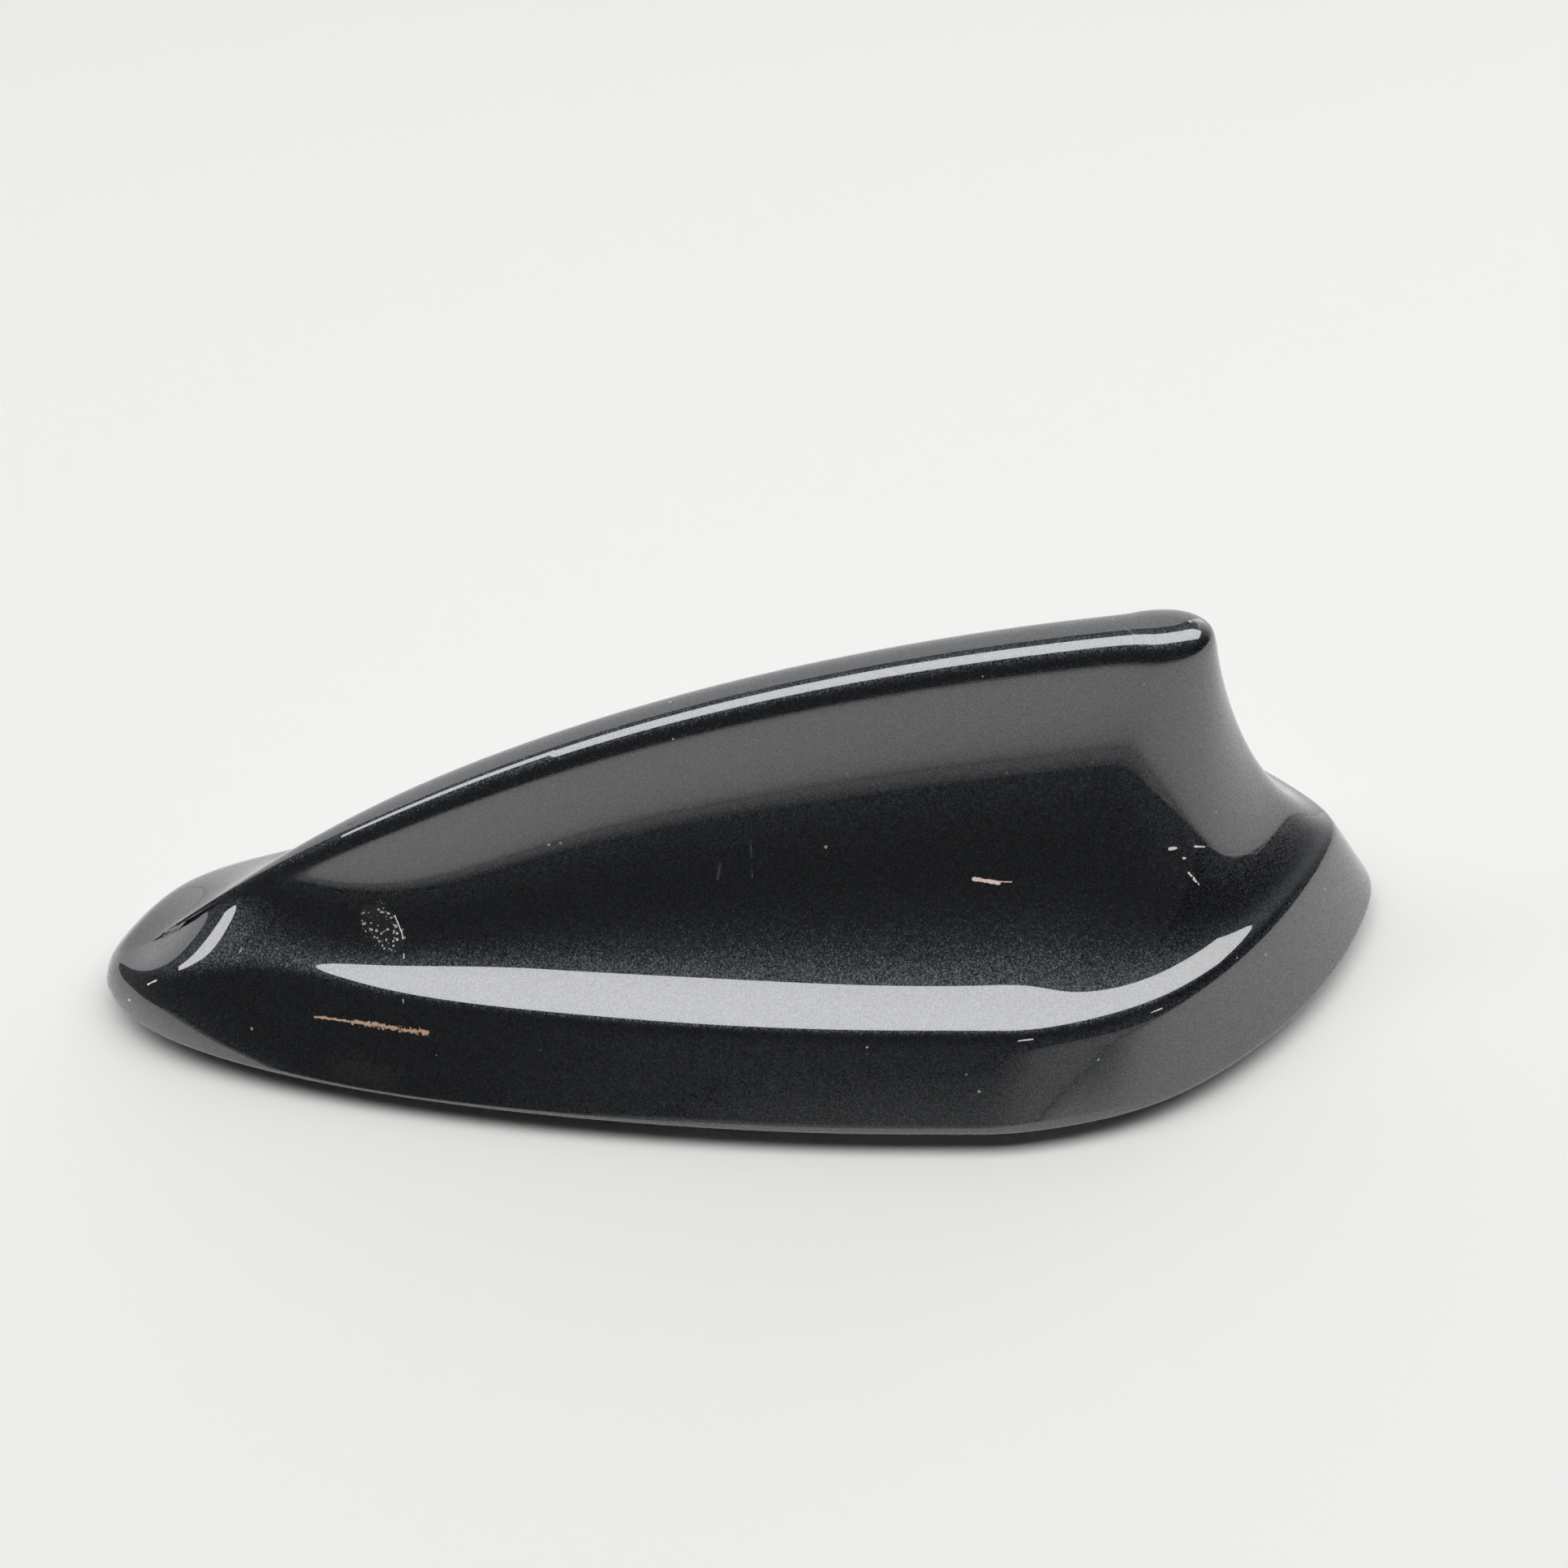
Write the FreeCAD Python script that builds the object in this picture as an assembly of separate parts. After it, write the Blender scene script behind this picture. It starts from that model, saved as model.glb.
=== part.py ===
import FreeCAD, Part
import math
import os

from FreeCAD import Vector

# Shark fin roof antenna, in millimetres, as it stands on a flat surface.
# The origin is on the roof bolt's axis, in the plane that the antenna stands on.
# +X points to the tail, +Z up, and the antenna is the same on both sides of the XZ plane.

# Rim of the cover, seen from above
LENGTH = 165.0
WIDTH = 72.6
WIDEST_FROM_NOSE = 113.8
NOSE_FULLNESS = 0.60
FRONT_FULLNESS = 0.21
REAR_FULLNESS = 0.58
TAIL_FULLNESS = 0.22
RIM_LIFT = 3.0
WALL = 2.2

# Crest of the fin, seen from the side: heights are above the rim
FIN_HEIGHT = 47.6
FIN_REAR_FROM_NOSE = 138.0
CREST_START_FROM_NOSE = 1.5
CREST_START_HEIGHT = 2.6
CREST_START_ANGLE = 27.5
CREST_START_LENGTH = 14.0
CREST_END_ANGLE = 0.3
CREST_END_LENGTH = 90.0
CREST_REAR_HALF = 4.3
CREST_FRONT_HALF = 3.0
CREST_EDGE_DROP = 1.5
CREST_CROWN = 0.2
PANEL_DROP = 4.2
PANEL_STEP = 0.55
SPINE_FRONT_FROM_NOSE = 9.0
SPINE_REAR_LENGTH = 5.0

# Ridge between the skirt and the hollow flank: at the sides, the front and the tail
RIDGE_INSET_SIDE = 6.8
RIDGE_INSET_FRONT = 10.5
RIDGE_INSET_TAIL = 7.4
RIDGE_HEIGHT_SIDE = 11.8
RIDGE_HEIGHT_FRONT = 8.5
RIDGE_HEIGHT_TAIL = 12.0
RIDGE_EDGE = 2.0
SKIRT_EDGE = 2.6
FRONT_SHARE = 0.7

# Hollow flank: slopes in degrees at the ridge and under the crest, and how far each slope holds
FLARE_SLOPE_SIDE = 8.0
FLARE_SLOPE_FRONT = 10.0
FLARE_SLOPE_TAIL = 10.0
FLARE_HOLD_SIDE = 0.35
FLARE_HOLD_FRONT = 0.30
FLARE_HOLD_TAIL = 0.46
PANEL_SLOPE_SIDE = 80.0
PANEL_SLOPE_TAIL = 79.0
PANEL_HOLD_SIDE = 0.62
PANEL_HOLD_TAIL = 0.36
HOLLOW_START_FROM_NOSE = 6.0
HOLLOW_FULL_FROM_NOSE = 30.0
NOSE_ROUNDNESS = 1.7

# Base plate, and the spigot of two blocks that enters the roof's cut-out
BOLT_FROM_NOSE = 92.0
BASE_LIFT = 4.0
BASE_THICKNESS = 2.5
BASE_CLEARANCE = 0.6
NOSE_INSET_RATIO = 2.6
TAIL_INSET_RATIO = 1.6
SPIGOT_FRONT = 15.0
SPIGOT_REAR = 27.0
SPIGOT_SPLIT = 9.0
SPIGOT_WIDTH = 28.0
SPIGOT_CORNER = 5.0
SPIGOT_FIT = 0.1
SPIGOT_FLANGE = 1.2
SPIGOT_LEDGE = 1.5
BUSH_RADIUS = 5.0
BUSH_LENGTH = 8.5
BOLT_HOLE_RADIUS = 2.5
BUSH_WALL = 2.5
BUSH_ROOF = 1.2

# Seals
COVER_SEAL_WIDTH = 2.0
COVER_SEAL_HEIGHT = 1.8
COVER_SEAL_GROOVE = 1.2
COVER_SEAL_FROM_EDGE = 1.4
ROOF_SEAL_WIDTH = 3.8
ROOF_SEAL_FLAT = 1.2
ROOF_SEAL_FROM_EDGE = 0.8
ROOF_SEAL_HEIGHT = 2.6
ROOF_SEAL_LIP = 1.6

# Cover screws, at the front, the tail and both sides
SCREW_FROM_NOSE = 35.0
SCREW_FROM_TAIL = 19.0
SCREW_FROM_BOLT = 9.0
SCREW_FROM_WIDEST_RIM = 13.8
SCREW_RADIUS = 1.3
SCREW_HEAD_RADIUS = 2.7
SCREW_HEAD_HEIGHT = 1.6
SCREW_BITE = 4.0
SCREW_PAD_RADIUS = 4.0
SCREW_PAD_HEIGHT = 1.5
SCREW_BOSS_RADIUS = 3.0
SCREW_CLEARANCE = 0.3
HEAD_RECESS = 1.9

# Main board on its posts
BOARD_LIFT = 11.0
BOARD_THICKNESS = 1.2
BOARD_FRONT_FROM_NOSE = 46.0
BOARD_SHOULDER_FROM_NOSE = 82.0
BOARD_WAIST_FROM_NOSE = 118.0
BOARD_FRONT_HALF = 10.5
BOARD_WIDE_HALF = 19.0
BOARD_REAR_HALF = 11.0
BOARD_CORNER = 2.0
POST_RADIUS = 3.0
BOARD_SCREW_RADIUS = 1.2
BOARD_SCREW_HEAD_RADIUS = 2.3
BOARD_SCREW_HEAD_HEIGHT = 1.4
BOARD_SCREW_LENGTH = 4.6
BOARD_SCREW_INSET = 4.0
REAR_POSTS_FROM_MIDDLE = 1.25

# Positioning antenna on the main board
PATCH_FROM_NOSE = 73.0
PATCH_SIDE = 18.0
PATCH_HEIGHT = 4.0
PATCH_CORNER = 1.0
PATCH_TAPE = 0.6
ELECTRODE_SIDE = 13.5
ELECTRODE_THICKNESS = 0.15
PATCH_PIN_RADIUS = 0.5
PATCH_PIN_OFFSET = 2.4
PATCH_PIN_HEAD = 0.4

# Upright board in the fin, its radiator, bracket and feed clip
FIN_BOARD_FRONT_FROM_NOSE = 86.0
FIN_BOARD_REAR_FROM_TAIL = 37.0
FIN_BOARD_SHOULDER = 10.0
FIN_BOARD_THICKNESS = 1.0
FIN_BOARD_BELOW_CREST = 6.5
RADIATOR_THICKNESS = 0.2
RADIATOR_MARGIN = 2.0
RADIATOR_SLOT = 2.2
RADIATOR_SLOTS = 3
RADIATOR_SLOT_REACH = 0.75
BRACKET_FROM_FRONT = 2.0
BRACKET_FROM_CLIP = 8.5
BRACKET_HALF = 3.2
BRACKET_HEIGHT = 5.0
BRACKET_FLOOR = 1.0
CLIP_FROM_REAR = 6.5
CLIP_LENGTH = 5.0
CLIP_SHEET = 0.35
CLIP_FOOT = 2.4
CLIP_HEIGHT = 4.5

# Screening can beside the upright board
CAN_FROM_NOSE = 104.0
CAN_LENGTH = 22.0
CAN_WIDTH = 9.0
CAN_HEIGHT = 2.2
CAN_SHEET = 0.3
CAN_CORNER = 0.8
CAN_OFFSET = 10.6

# Sockets in the socket block
SOCKET_FROM_BOLT = 16.5
SOCKET_SPREAD = 6.6
SOCKET_SIDE = 9.6
SOCKET_MOUTH = 7.6
SOCKET_CORNER = 1.4
SOCKET_MOUTH_LIFT = 0.2
SOCKET_FIT = 0.1
SOCKET_FREE_DEPTH = 4.8
SOCKET_FLOOR = 2.0
SOCKET_KEY = 1.2
CORE_RECESS = 1.0
PIN_RECESS = 0.5
SHELL_RADIUS = 2.2
SHELL_WALL = 0.4
PIN_RADIUS = 0.45

# Breathing membrane in the base
VENT_FROM_NOSE = 62.0
VENT_RADIUS = 3.5
VENT_HOLE_RADIUS = 1.2
VENT_THICKNESS = 0.4

NOSE_COLUMNS = 10
TAIL_COLUMNS = 6
NOSE_CROWDING = 1.5
SIDE_CROWDING = 1.2
TAIL_CROWDING = 0.9
SPINE_CROWDING = 2.4
SMOOTHING_PASSES = 14
FLANK_STEPS = (0.3, 0.55, 0.8)
# Each row of the skin runs round the cover. The angles place the rows on the rounded nose, and the
# leans say how much a row follows the crest's slope.
ROW_ANGLES = (0, 12, 24, 33, 38, 47, 57, 67, 75, 81, 86, 90)
ROW_LEANS = (0, 0, 0, 0, 0, 0.15, 0.35, 0.6, 0.85, 1, 1, 1)
INNER_ROWS = (1, 3, 5, 7, 8, 11)

UP = Vector(0, 0, 1)
BOARD_TOP = BOARD_LIFT + BOARD_THICKNESS
BASE_TOP = BASE_LIFT + BASE_THICKNESS
PAD_TOP = BASE_TOP + SCREW_PAD_HEIGHT
SEAL_FLOOR = BASE_TOP - COVER_SEAL_GROOVE
HEAD_SEAT = BASE_LIFT + HEAD_RECESS
SOCKET_CONTACT_LIFT = SOCKET_MOUTH_LIFT + SOCKET_FREE_DEPTH
CORE_LIFT = SOCKET_CONTACT_LIFT + CORE_RECESS
SKIRT_DRAFT = RIDGE_INSET_SIDE / RIDGE_HEIGHT_SIDE
BASE_INSET = WALL * math.hypot(1, SKIRT_DRAFT) + SKIRT_DRAFT * (BASE_TOP - RIM_LIFT) + BASE_CLEARANCE


def place(from_nose):
    """X of a point that is measured from the nose."""
    return from_nose - BOLT_FROM_NOSE


def blend(share, start, end):
    return start + (end - start) * share


def ease(share):
    share = min(max(share, 0.0), 1.0)
    return share * share * (3 - 2 * share)


def bezier(points, t):
    first, second, third, last = points
    s = 1 - t
    return first * s ** 3 + second * (3 * s * s * t) + third * (3 * s * t * t) + last * t ** 3


def outline_curves(inset):
    """Control points of the front and rear curve of one side of the rim's outline, moved in by an inset."""
    nose, tail = inset * NOSE_INSET_RATIO, LENGTH - inset * TAIL_INSET_RATIO
    widest = Vector(WIDEST_FROM_NOSE, WIDTH / 2 - inset, 0)
    front = (Vector(nose, 0, 0), Vector(nose, NOSE_FULLNESS * widest.y, 0),
             Vector(blend(FRONT_FULLNESS, widest.x, nose), widest.y, 0), widest)
    rear = (widest, Vector(blend(REAR_FULLNESS, widest.x, tail), widest.y, 0),
            Vector(tail, TAIL_FULLNESS * widest.y, 0), Vector(tail, 0, 0))
    return front, rear


def half_outline():
    """Points of one side of the rim, from the nose to the tail, crowded at its ends."""
    front, rear = outline_curves(0)
    points = []
    for step in range(NOSE_COLUMNS + 1):
        share = (step / NOSE_COLUMNS) ** NOSE_CROWDING
        points.append(bezier(front, 1 - (1 - share) ** SIDE_CROWDING))
    for step in range(1, TAIL_COLUMNS + 1):
        points.append(bezier(rear, 1 - (1 - step / TAIL_COLUMNS) ** TAIL_CROWDING))
    return points


def crest(x):
    """Height and slope of the crest at a distance from the nose."""
    start_angle = math.radians(CREST_START_ANGLE)
    end_angle = math.radians(CREST_END_ANGLE)
    start = Vector(CREST_START_FROM_NOSE, 0, CREST_START_HEIGHT)
    end = Vector(FIN_REAR_FROM_NOSE, 0, FIN_HEIGHT)
    rise = Vector(math.cos(start_angle), 0, math.sin(start_angle)) * CREST_START_LENGTH
    run = Vector(math.cos(end_angle), 0, math.sin(end_angle)) * CREST_END_LENGTH
    curve = Part.BezierCurve()
    curve.setPoles([start, start + rise, end - run, end])
    low, high = 0.0, 1.0
    while high - low > 1e-7:
        middle = (low + high) / 2
        if curve.value(middle).x < x:
            low = middle
        else:
            high = middle
    tangent = curve.tangent(low)[0]
    return curve.value(low).z, tangent.z / tangent.x


def spine():
    """Points under the crest that the columns of the skin lead to, from the nose to the tail."""
    end = FIN_REAR_FROM_NOSE - CREST_REAR_HALF
    start = end - SPINE_REAR_LENGTH
    places = []
    for point in half_outline()[:NOSE_COLUMNS + 1]:
        places.append(blend(point.x / WIDEST_FROM_NOSE, SPINE_FRONT_FROM_NOSE, start))
    for step in range(1, TAIL_COLUMNS + 1):
        places.append(blend(1 - (1 - step / TAIL_COLUMNS) ** SPINE_CROWDING, start, end))
    return places


def section(rim, spine_x):
    """One column of the skin: distances from the crest and heights above the rim, rim first."""
    crest_height = crest(spine_x)[0]
    outward = rim - Vector(spine_x, 0, 0)
    reach = outward.Length
    tail = ease(outward.x / reach)
    front = ease(1 - rim.x / WIDEST_FROM_NOSE / FRONT_SHARE)
    side = 1 - tail
    crest_half = blend(spine_x / FIN_REAR_FROM_NOSE, CREST_FRONT_HALF, CREST_REAR_HALF)

    def local(at_side, at_front, at_tail):
        return at_side + (at_front - at_side) * front * side + (at_tail - at_side) * tail

    rim_corner = Vector(reach, 0, 0)
    ridge = Vector(reach - local(RIDGE_INSET_SIDE, RIDGE_INSET_FRONT, RIDGE_INSET_TAIL), 0,
                   local(RIDGE_HEIGHT_SIDE, RIDGE_HEIGHT_FRONT, RIDGE_HEIGHT_TAIL))
    panel = Vector(crest_half + PANEL_STEP, 0, crest_height - PANEL_DROP)
    flare_slope = math.radians(local(FLARE_SLOPE_SIDE, FLARE_SLOPE_FRONT, FLARE_SLOPE_TAIL))
    panel_slope = math.radians(local(PANEL_SLOPE_SIDE, PANEL_SLOPE_SIDE, PANEL_SLOPE_TAIL))
    flare_run = (ridge.x - panel.x) * local(FLARE_HOLD_SIDE, FLARE_HOLD_FRONT, FLARE_HOLD_TAIL)
    panel_rise = (panel.z - ridge.z) * local(PANEL_HOLD_SIDE, PANEL_HOLD_SIDE, PANEL_HOLD_TAIL)
    flank = (ridge, ridge + Vector(-1, 0, math.tan(flare_slope)) * flare_run,
             panel - Vector(-1 / math.tan(panel_slope), 0, 1) * panel_rise, panel)
    skirt = (rim_corner - ridge).normalize()
    first_step = min(RIDGE_EDGE / (flank[1] - ridge).Length, FLANK_STEPS[0]) / 3
    rows = [rim_corner, rim_corner - skirt * SKIRT_EDGE, ridge + skirt * RIDGE_EDGE, ridge,
            bezier(flank, first_step)]
    rows += [bezier(flank, step) for step in FLANK_STEPS]
    rows += [panel, Vector(crest_half, 0, crest_height - CREST_EDGE_DROP),
             Vector(crest_half / 2, 0, crest_height - CREST_CROWN), Vector(0, 0, crest_height)]
    share = ease((rim.x - HOLLOW_START_FROM_NOSE) / (HOLLOW_FULL_FROM_NOSE - HOLLOW_START_FROM_NOSE))
    for index, angle in enumerate(ROW_ANGLES):
        turn = math.radians(angle)
        round_nose = Vector(reach * math.cos(turn) ** NOSE_ROUNDNESS, 0, crest_height * math.sin(turn))
        rows[index] = blend(share, round_nose, rows[index])
    return rows


def thinned(rows):
    """Fewer rows of the same column, one wall further in and carried straight on below the rim."""
    inner = []
    for index in INNER_ROWS:
        after = rows[index + 1] if index + 1 < len(rows) else Vector(-rows[-2].x, 0, rows[-2].z)
        along = (after - rows[index - 1]).normalize()
        inner.append(rows[index] + Vector(-along.z, 0, along.x) * WALL)
    down = (inner[0] - inner[1]) / (inner[1].z - inner[0].z)
    return [inner[0] + down * (inner[0].z + RIM_LIFT)] + inner


def mirrored(point):
    return Vector(point.x, -point.y, point.z)


def beyond(end, before):
    """Point past the end of a row: the row's other side, or straight on along the middle line."""
    return mirrored(before) if before.y else end * 2 - before


def drawn_out(row):
    """Control points whose smooth curve passes through the given points."""
    control = list(row)
    for _ in range(SMOOTHING_PASSES):
        around = [beyond(control[0], control[1])] + control + [beyond(control[-1], control[-2])]
        smooth = [(before + here * 4 + after) / 6
                  for before, here, after in zip(around, around[1:], around[2:])]
        control = [here + wanted - got for here, wanted, got in zip(control, row, smooth)]
    return control


def clamped(points, past_start, past_end):
    """Poles of a smooth curve, from the points past its two ends."""
    first_pole = (past_start + points[0] * 4 + points[1]) / 6
    last_pole = (past_end + points[-1] * 4 + points[-2]) / 6
    second_pole = (points[0] * 2 + points[1]) / 3
    return [first_pole, second_pole, *points[1:-1], (points[-1] * 2 + points[-2]) / 3, last_pole]


def skin(thin):
    """Solid within the cover's outer skin, or within its inner skin, which reaches below the rim."""
    columns = []
    for point, spine_x in zip(half_outline(), spine()):
        rows, leans = section(point, spine_x), ROW_LEANS
        if thin:
            rows, leans = thinned(rows), [0] + [ROW_LEANS[index] for index in INNER_ROWS]
        slope = crest(spine_x)[1]
        outward = (point - Vector(spine_x, 0, 0)).normalize()
        column = []
        for row, lean in zip(rows, leans):
            x = spine_x + outward.x * row.x
            height = row.z + lean * slope * (x - spine_x)
            column.append(Vector(place(x), -outward.y * row.x, RIM_LIFT + height))
        columns.append(column)
    rows = [drawn_out(row) for row in zip(*columns)]
    columns = [clamped(column, column[0] * 2 - column[1], mirrored(column[-2])) for column in zip(*rows)]
    poles = [clamped(row, beyond(row[0], row[1]), beyond(row[-1], row[-2])) for row in zip(*columns)]
    row_knots = list(range(len(poles) - 2))
    column_knots = list(range(len(poles[0]) - 2))
    surface = Part.BSplineSurface()
    surface.buildFromPolesMultsKnots(poles, end_knots(row_knots), end_knots(column_knots),
                                     row_knots, column_knots, False, False, 3, 3)
    near = surface.toShape()
    edge = surface.uIso(0).toShape()
    floor = Part.Face(Part.Wire([edge, other_side(edge)]))
    shell = Part.makeShell([near, other_side(near), floor])
    shell.sewShape()
    solid = Part.makeSolid(shell)
    if solid.Volume < 0:
        solid.reverse()
    return solid


def end_knots(knots):
    return [4] + [1] * (len(knots) - 2) + [4]


def other_side(shape):
    return shape.mirror(Vector(0, 0, 0), Vector(0, 1, 0))


def leaf(inset, bottom, height):
    """Upright prism of the rim's outline, moved in from the rim."""
    edges = []
    for points in outline_curves(inset):
        curve = Part.BezierCurve()
        curve.setPoles([Vector(place(point.x), -point.y, bottom) for point in points])
        edges.append(curve.toShape())
    edges += [other_side(edge) for edge in reversed(edges)]
    return Part.Face(Part.Wire(edges)).extrude(UP * height)


def ring(inset, width, bottom, height):
    return leaf(inset, bottom, height).cut(leaf(inset + width, bottom, height))


def peg(spot, bottom, radius, height):
    return Part.makeCylinder(radius, height, Vector(spot.x, spot.y, bottom))


def block(center, bottom, length, width, height, corner=0.0):
    """Box about an upright axis, with its upright edges rounded."""
    box = Part.makeBox(length, width, height, Vector(center.x - length / 2, center.y - width / 2, bottom))
    if corner:
        upright = [edge for edge in box.Edges if edge.BoundBox.ZLength > height / 2]
        box = box.makeFillet(corner, upright)
    return box


def both_sides(x, spread):
    return [Vector(x, -spread, 0), Vector(x, spread, 0)]


COVER_SCREWS = [Vector(place(SCREW_FROM_NOSE), 0, 0), Vector(place(LENGTH - SCREW_FROM_TAIL), 0, 0)]
COVER_SCREWS += both_sides(SCREW_FROM_BOLT, WIDTH / 2 - SCREW_FROM_WIDEST_RIM)
TAIL_SCREW = COVER_SCREWS[1]
# The board's rear posts stand about midway between the spigot's flange and the tail screw.
FRONT_POSTS = place(BOARD_FRONT_FROM_NOSE) + BOARD_SCREW_INSET
REAR_POSTS = (SPIGOT_REAR + SPIGOT_LEDGE + TAIL_SCREW.x) / 2 - REAR_POSTS_FROM_MIDDLE
BOARD_SCREWS = both_sides(FRONT_POSTS, BOARD_FRONT_HALF - BOARD_SCREW_INSET)
BOARD_SCREWS += both_sides(REAR_POSTS, BOARD_REAR_HALF - BOARD_SCREW_INSET)
SOCKETS = both_sides(SOCKET_FROM_BOLT, SOCKET_SPREAD)
PATCH = Vector(place(PATCH_FROM_NOSE), 0, 0)
PATCH_PIN = PATCH + Vector(PATCH_PIN_OFFSET, 0, 0)
VENT = Vector(place(VENT_FROM_NOSE), 0, 0)
CLIP_START = place(LENGTH - FIN_BOARD_REAR_FROM_TAIL) - CLIP_FROM_REAR - CLIP_LENGTH


def make_fin_cover():
    """Moulded shell with a boss for each screw."""
    bosses = []
    for spot in COVER_SCREWS:
        boss = peg(spot, PAD_TOP, SCREW_BOSS_RADIUS, FIN_HEIGHT)
        bosses.append(boss.cut(peg(spot, PAD_TOP, SCREW_RADIUS, SCREW_BITE)))
    return skin(False).cut(skin(True).cut(bosses))


def spigot_block(bottom, height, margin):
    center = Vector((SPIGOT_REAR - SPIGOT_FRONT) / 2, 0, 0)
    return block(center, bottom, SPIGOT_FRONT + SPIGOT_REAR + 2 * margin, SPIGOT_WIDTH + 2 * margin, height,
                 SPIGOT_CORNER + margin)


def make_base_plate():
    """Cast plate with a window for the spigot, posts for the board and pads for the screws."""
    seal_inset = BASE_INSET + COVER_SEAL_FROM_EDGE
    plate = leaf(BASE_INSET, BASE_LIFT, BASE_THICKNESS)
    plate = plate.cut(ring(seal_inset, COVER_SEAL_WIDTH, SEAL_FLOOR, COVER_SEAL_GROOVE))
    added = []
    for spot in BOARD_SCREWS:
        added.append(peg(spot, BASE_LIFT, POST_RADIUS, BOARD_LIFT - BASE_LIFT))
    for spot in COVER_SCREWS:
        added.append(peg(spot, BASE_LIFT, SCREW_PAD_RADIUS, PAD_TOP - BASE_LIFT))
    removed = [spigot_block(BASE_LIFT, BASE_THICKNESS, SPIGOT_FIT),
               spigot_block(BASE_TOP, SPIGOT_FLANGE, SPIGOT_LEDGE + SPIGOT_FIT),
               peg(VENT, BASE_LIFT, VENT_HOLE_RADIUS, BASE_THICKNESS)]
    for spot in BOARD_SCREWS:
        removed.append(peg(spot, BOARD_TOP - BOARD_SCREW_LENGTH, BOARD_SCREW_RADIUS, BOARD_SCREW_LENGTH))
    for spot in COVER_SCREWS:
        removed.append(peg(spot, BASE_LIFT, SCREW_HEAD_RADIUS + SCREW_CLEARANCE, HEAD_RECESS))
        removed.append(peg(spot, BASE_LIFT, SCREW_RADIUS + SCREW_CLEARANCE, PAD_TOP - BASE_LIFT))
    return plate.fuse(added).cut(removed)


def spigot_slice(front, rear):
    """Part of the spigot, which enters the roof's cut-out and hangs on the plate by its flange."""
    top = BASE_TOP + SPIGOT_FLANGE
    spigot = spigot_block(0, top, 0).fuse(spigot_block(BASE_TOP, SPIGOT_FLANGE, SPIGOT_LEDGE))
    center = Vector((front + rear) / 2, 0, 0)
    return spigot.common(block(center, 0, rear - front, SPIGOT_WIDTH + 2 * SPIGOT_LEDGE, top))


def make_fixing_block():
    """Moulded front of the spigot, with a housing for the bush."""
    front = spigot_slice(-SPIGOT_FRONT - SPIGOT_LEDGE, SPIGOT_SPLIT)
    housing = peg(Vector(), BASE_TOP, BUSH_RADIUS + BUSH_WALL, BUSH_LENGTH + BUSH_ROOF - BASE_TOP)
    return front.fuse(housing).cut(peg(Vector(), 0, BUSH_RADIUS, BUSH_LENGTH))


def make_socket_block():
    """Moulded rear of the spigot, with an aperture for each socket."""
    rear = spigot_slice(SPIGOT_SPLIT, SPIGOT_REAR + SPIGOT_LEDGE)
    aperture = SOCKET_SIDE + 2 * SOCKET_FIT
    height = BASE_TOP + SPIGOT_FLANGE
    return rear.cut([block(spot, 0, aperture, aperture, height, SOCKET_CORNER) for spot in SOCKETS])


def make_roof_seal():
    """Flat rubber seal under the plate, with a lip that lies on the roof."""
    inset = BASE_INSET + ROOF_SEAL_FROM_EDGE
    flat = ring(inset, ROOF_SEAL_WIDTH, BASE_LIFT - ROOF_SEAL_FLAT, ROOF_SEAL_FLAT)
    lip = ring(inset, ROOF_SEAL_LIP, BASE_LIFT - ROOF_SEAL_HEIGHT, ROOF_SEAL_HEIGHT)
    return flat.fuse(lip)


def make_cover_seal():
    return ring(BASE_INSET + COVER_SEAL_FROM_EDGE, COVER_SEAL_WIDTH, SEAL_FLOOR, COVER_SEAL_HEIGHT)


def make_bolt_bush():
    return peg(Vector(), 0, BUSH_RADIUS, BUSH_LENGTH).cut(peg(Vector(), 0, BOLT_HOLE_RADIUS, BUSH_LENGTH))


def make_main_board():
    """Tapered circuit board that leaves room for the cover's bosses."""
    front, rear = place(BOARD_FRONT_FROM_NOSE), REAR_POSTS + BOARD_SCREW_INSET
    shoulder, waist = place(BOARD_SHOULDER_FROM_NOSE), place(BOARD_WAIST_FROM_NOSE)
    near = [Vector(front, -BOARD_FRONT_HALF, BOARD_LIFT), Vector(shoulder, -BOARD_WIDE_HALF, BOARD_LIFT),
            Vector(waist, -BOARD_WIDE_HALF, BOARD_LIFT), Vector(rear, -BOARD_REAR_HALF, BOARD_LIFT)]
    outline = near + [mirrored(point) for point in reversed(near)]
    board = Part.Face(Part.makePolygon(outline + outline[:1])).extrude(UP * BOARD_THICKNESS)
    upright = [edge for edge in board.Edges if edge.BoundBox.ZLength > BOARD_THICKNESS / 2]
    board = board.makeFillet(BOARD_CORNER, upright)
    hole_radius = BOARD_SCREW_RADIUS + SCREW_CLEARANCE
    holes = [peg(spot, BOARD_LIFT, hole_radius, BOARD_THICKNESS) for spot in BOARD_SCREWS]
    boss_room = SCREW_BOSS_RADIUS + SCREW_CLEARANCE
    holes += [peg(spot, BOARD_LIFT, boss_room, BOARD_THICKNESS) for spot in COVER_SCREWS]
    holes.append(peg(PATCH_PIN, BOARD_LIFT, PATCH_PIN_RADIUS, BOARD_THICKNESS))
    return board.cut(holes)


def make_board_screws():
    screws = []
    for spot in BOARD_SCREWS:
        shank = peg(spot, BOARD_TOP - BOARD_SCREW_LENGTH, BOARD_SCREW_RADIUS, BOARD_SCREW_LENGTH)
        head = peg(spot, BOARD_TOP, BOARD_SCREW_HEAD_RADIUS, BOARD_SCREW_HEAD_HEIGHT)
        screws.append(shank.fuse(head))
    return Part.makeCompound(screws)


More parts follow.
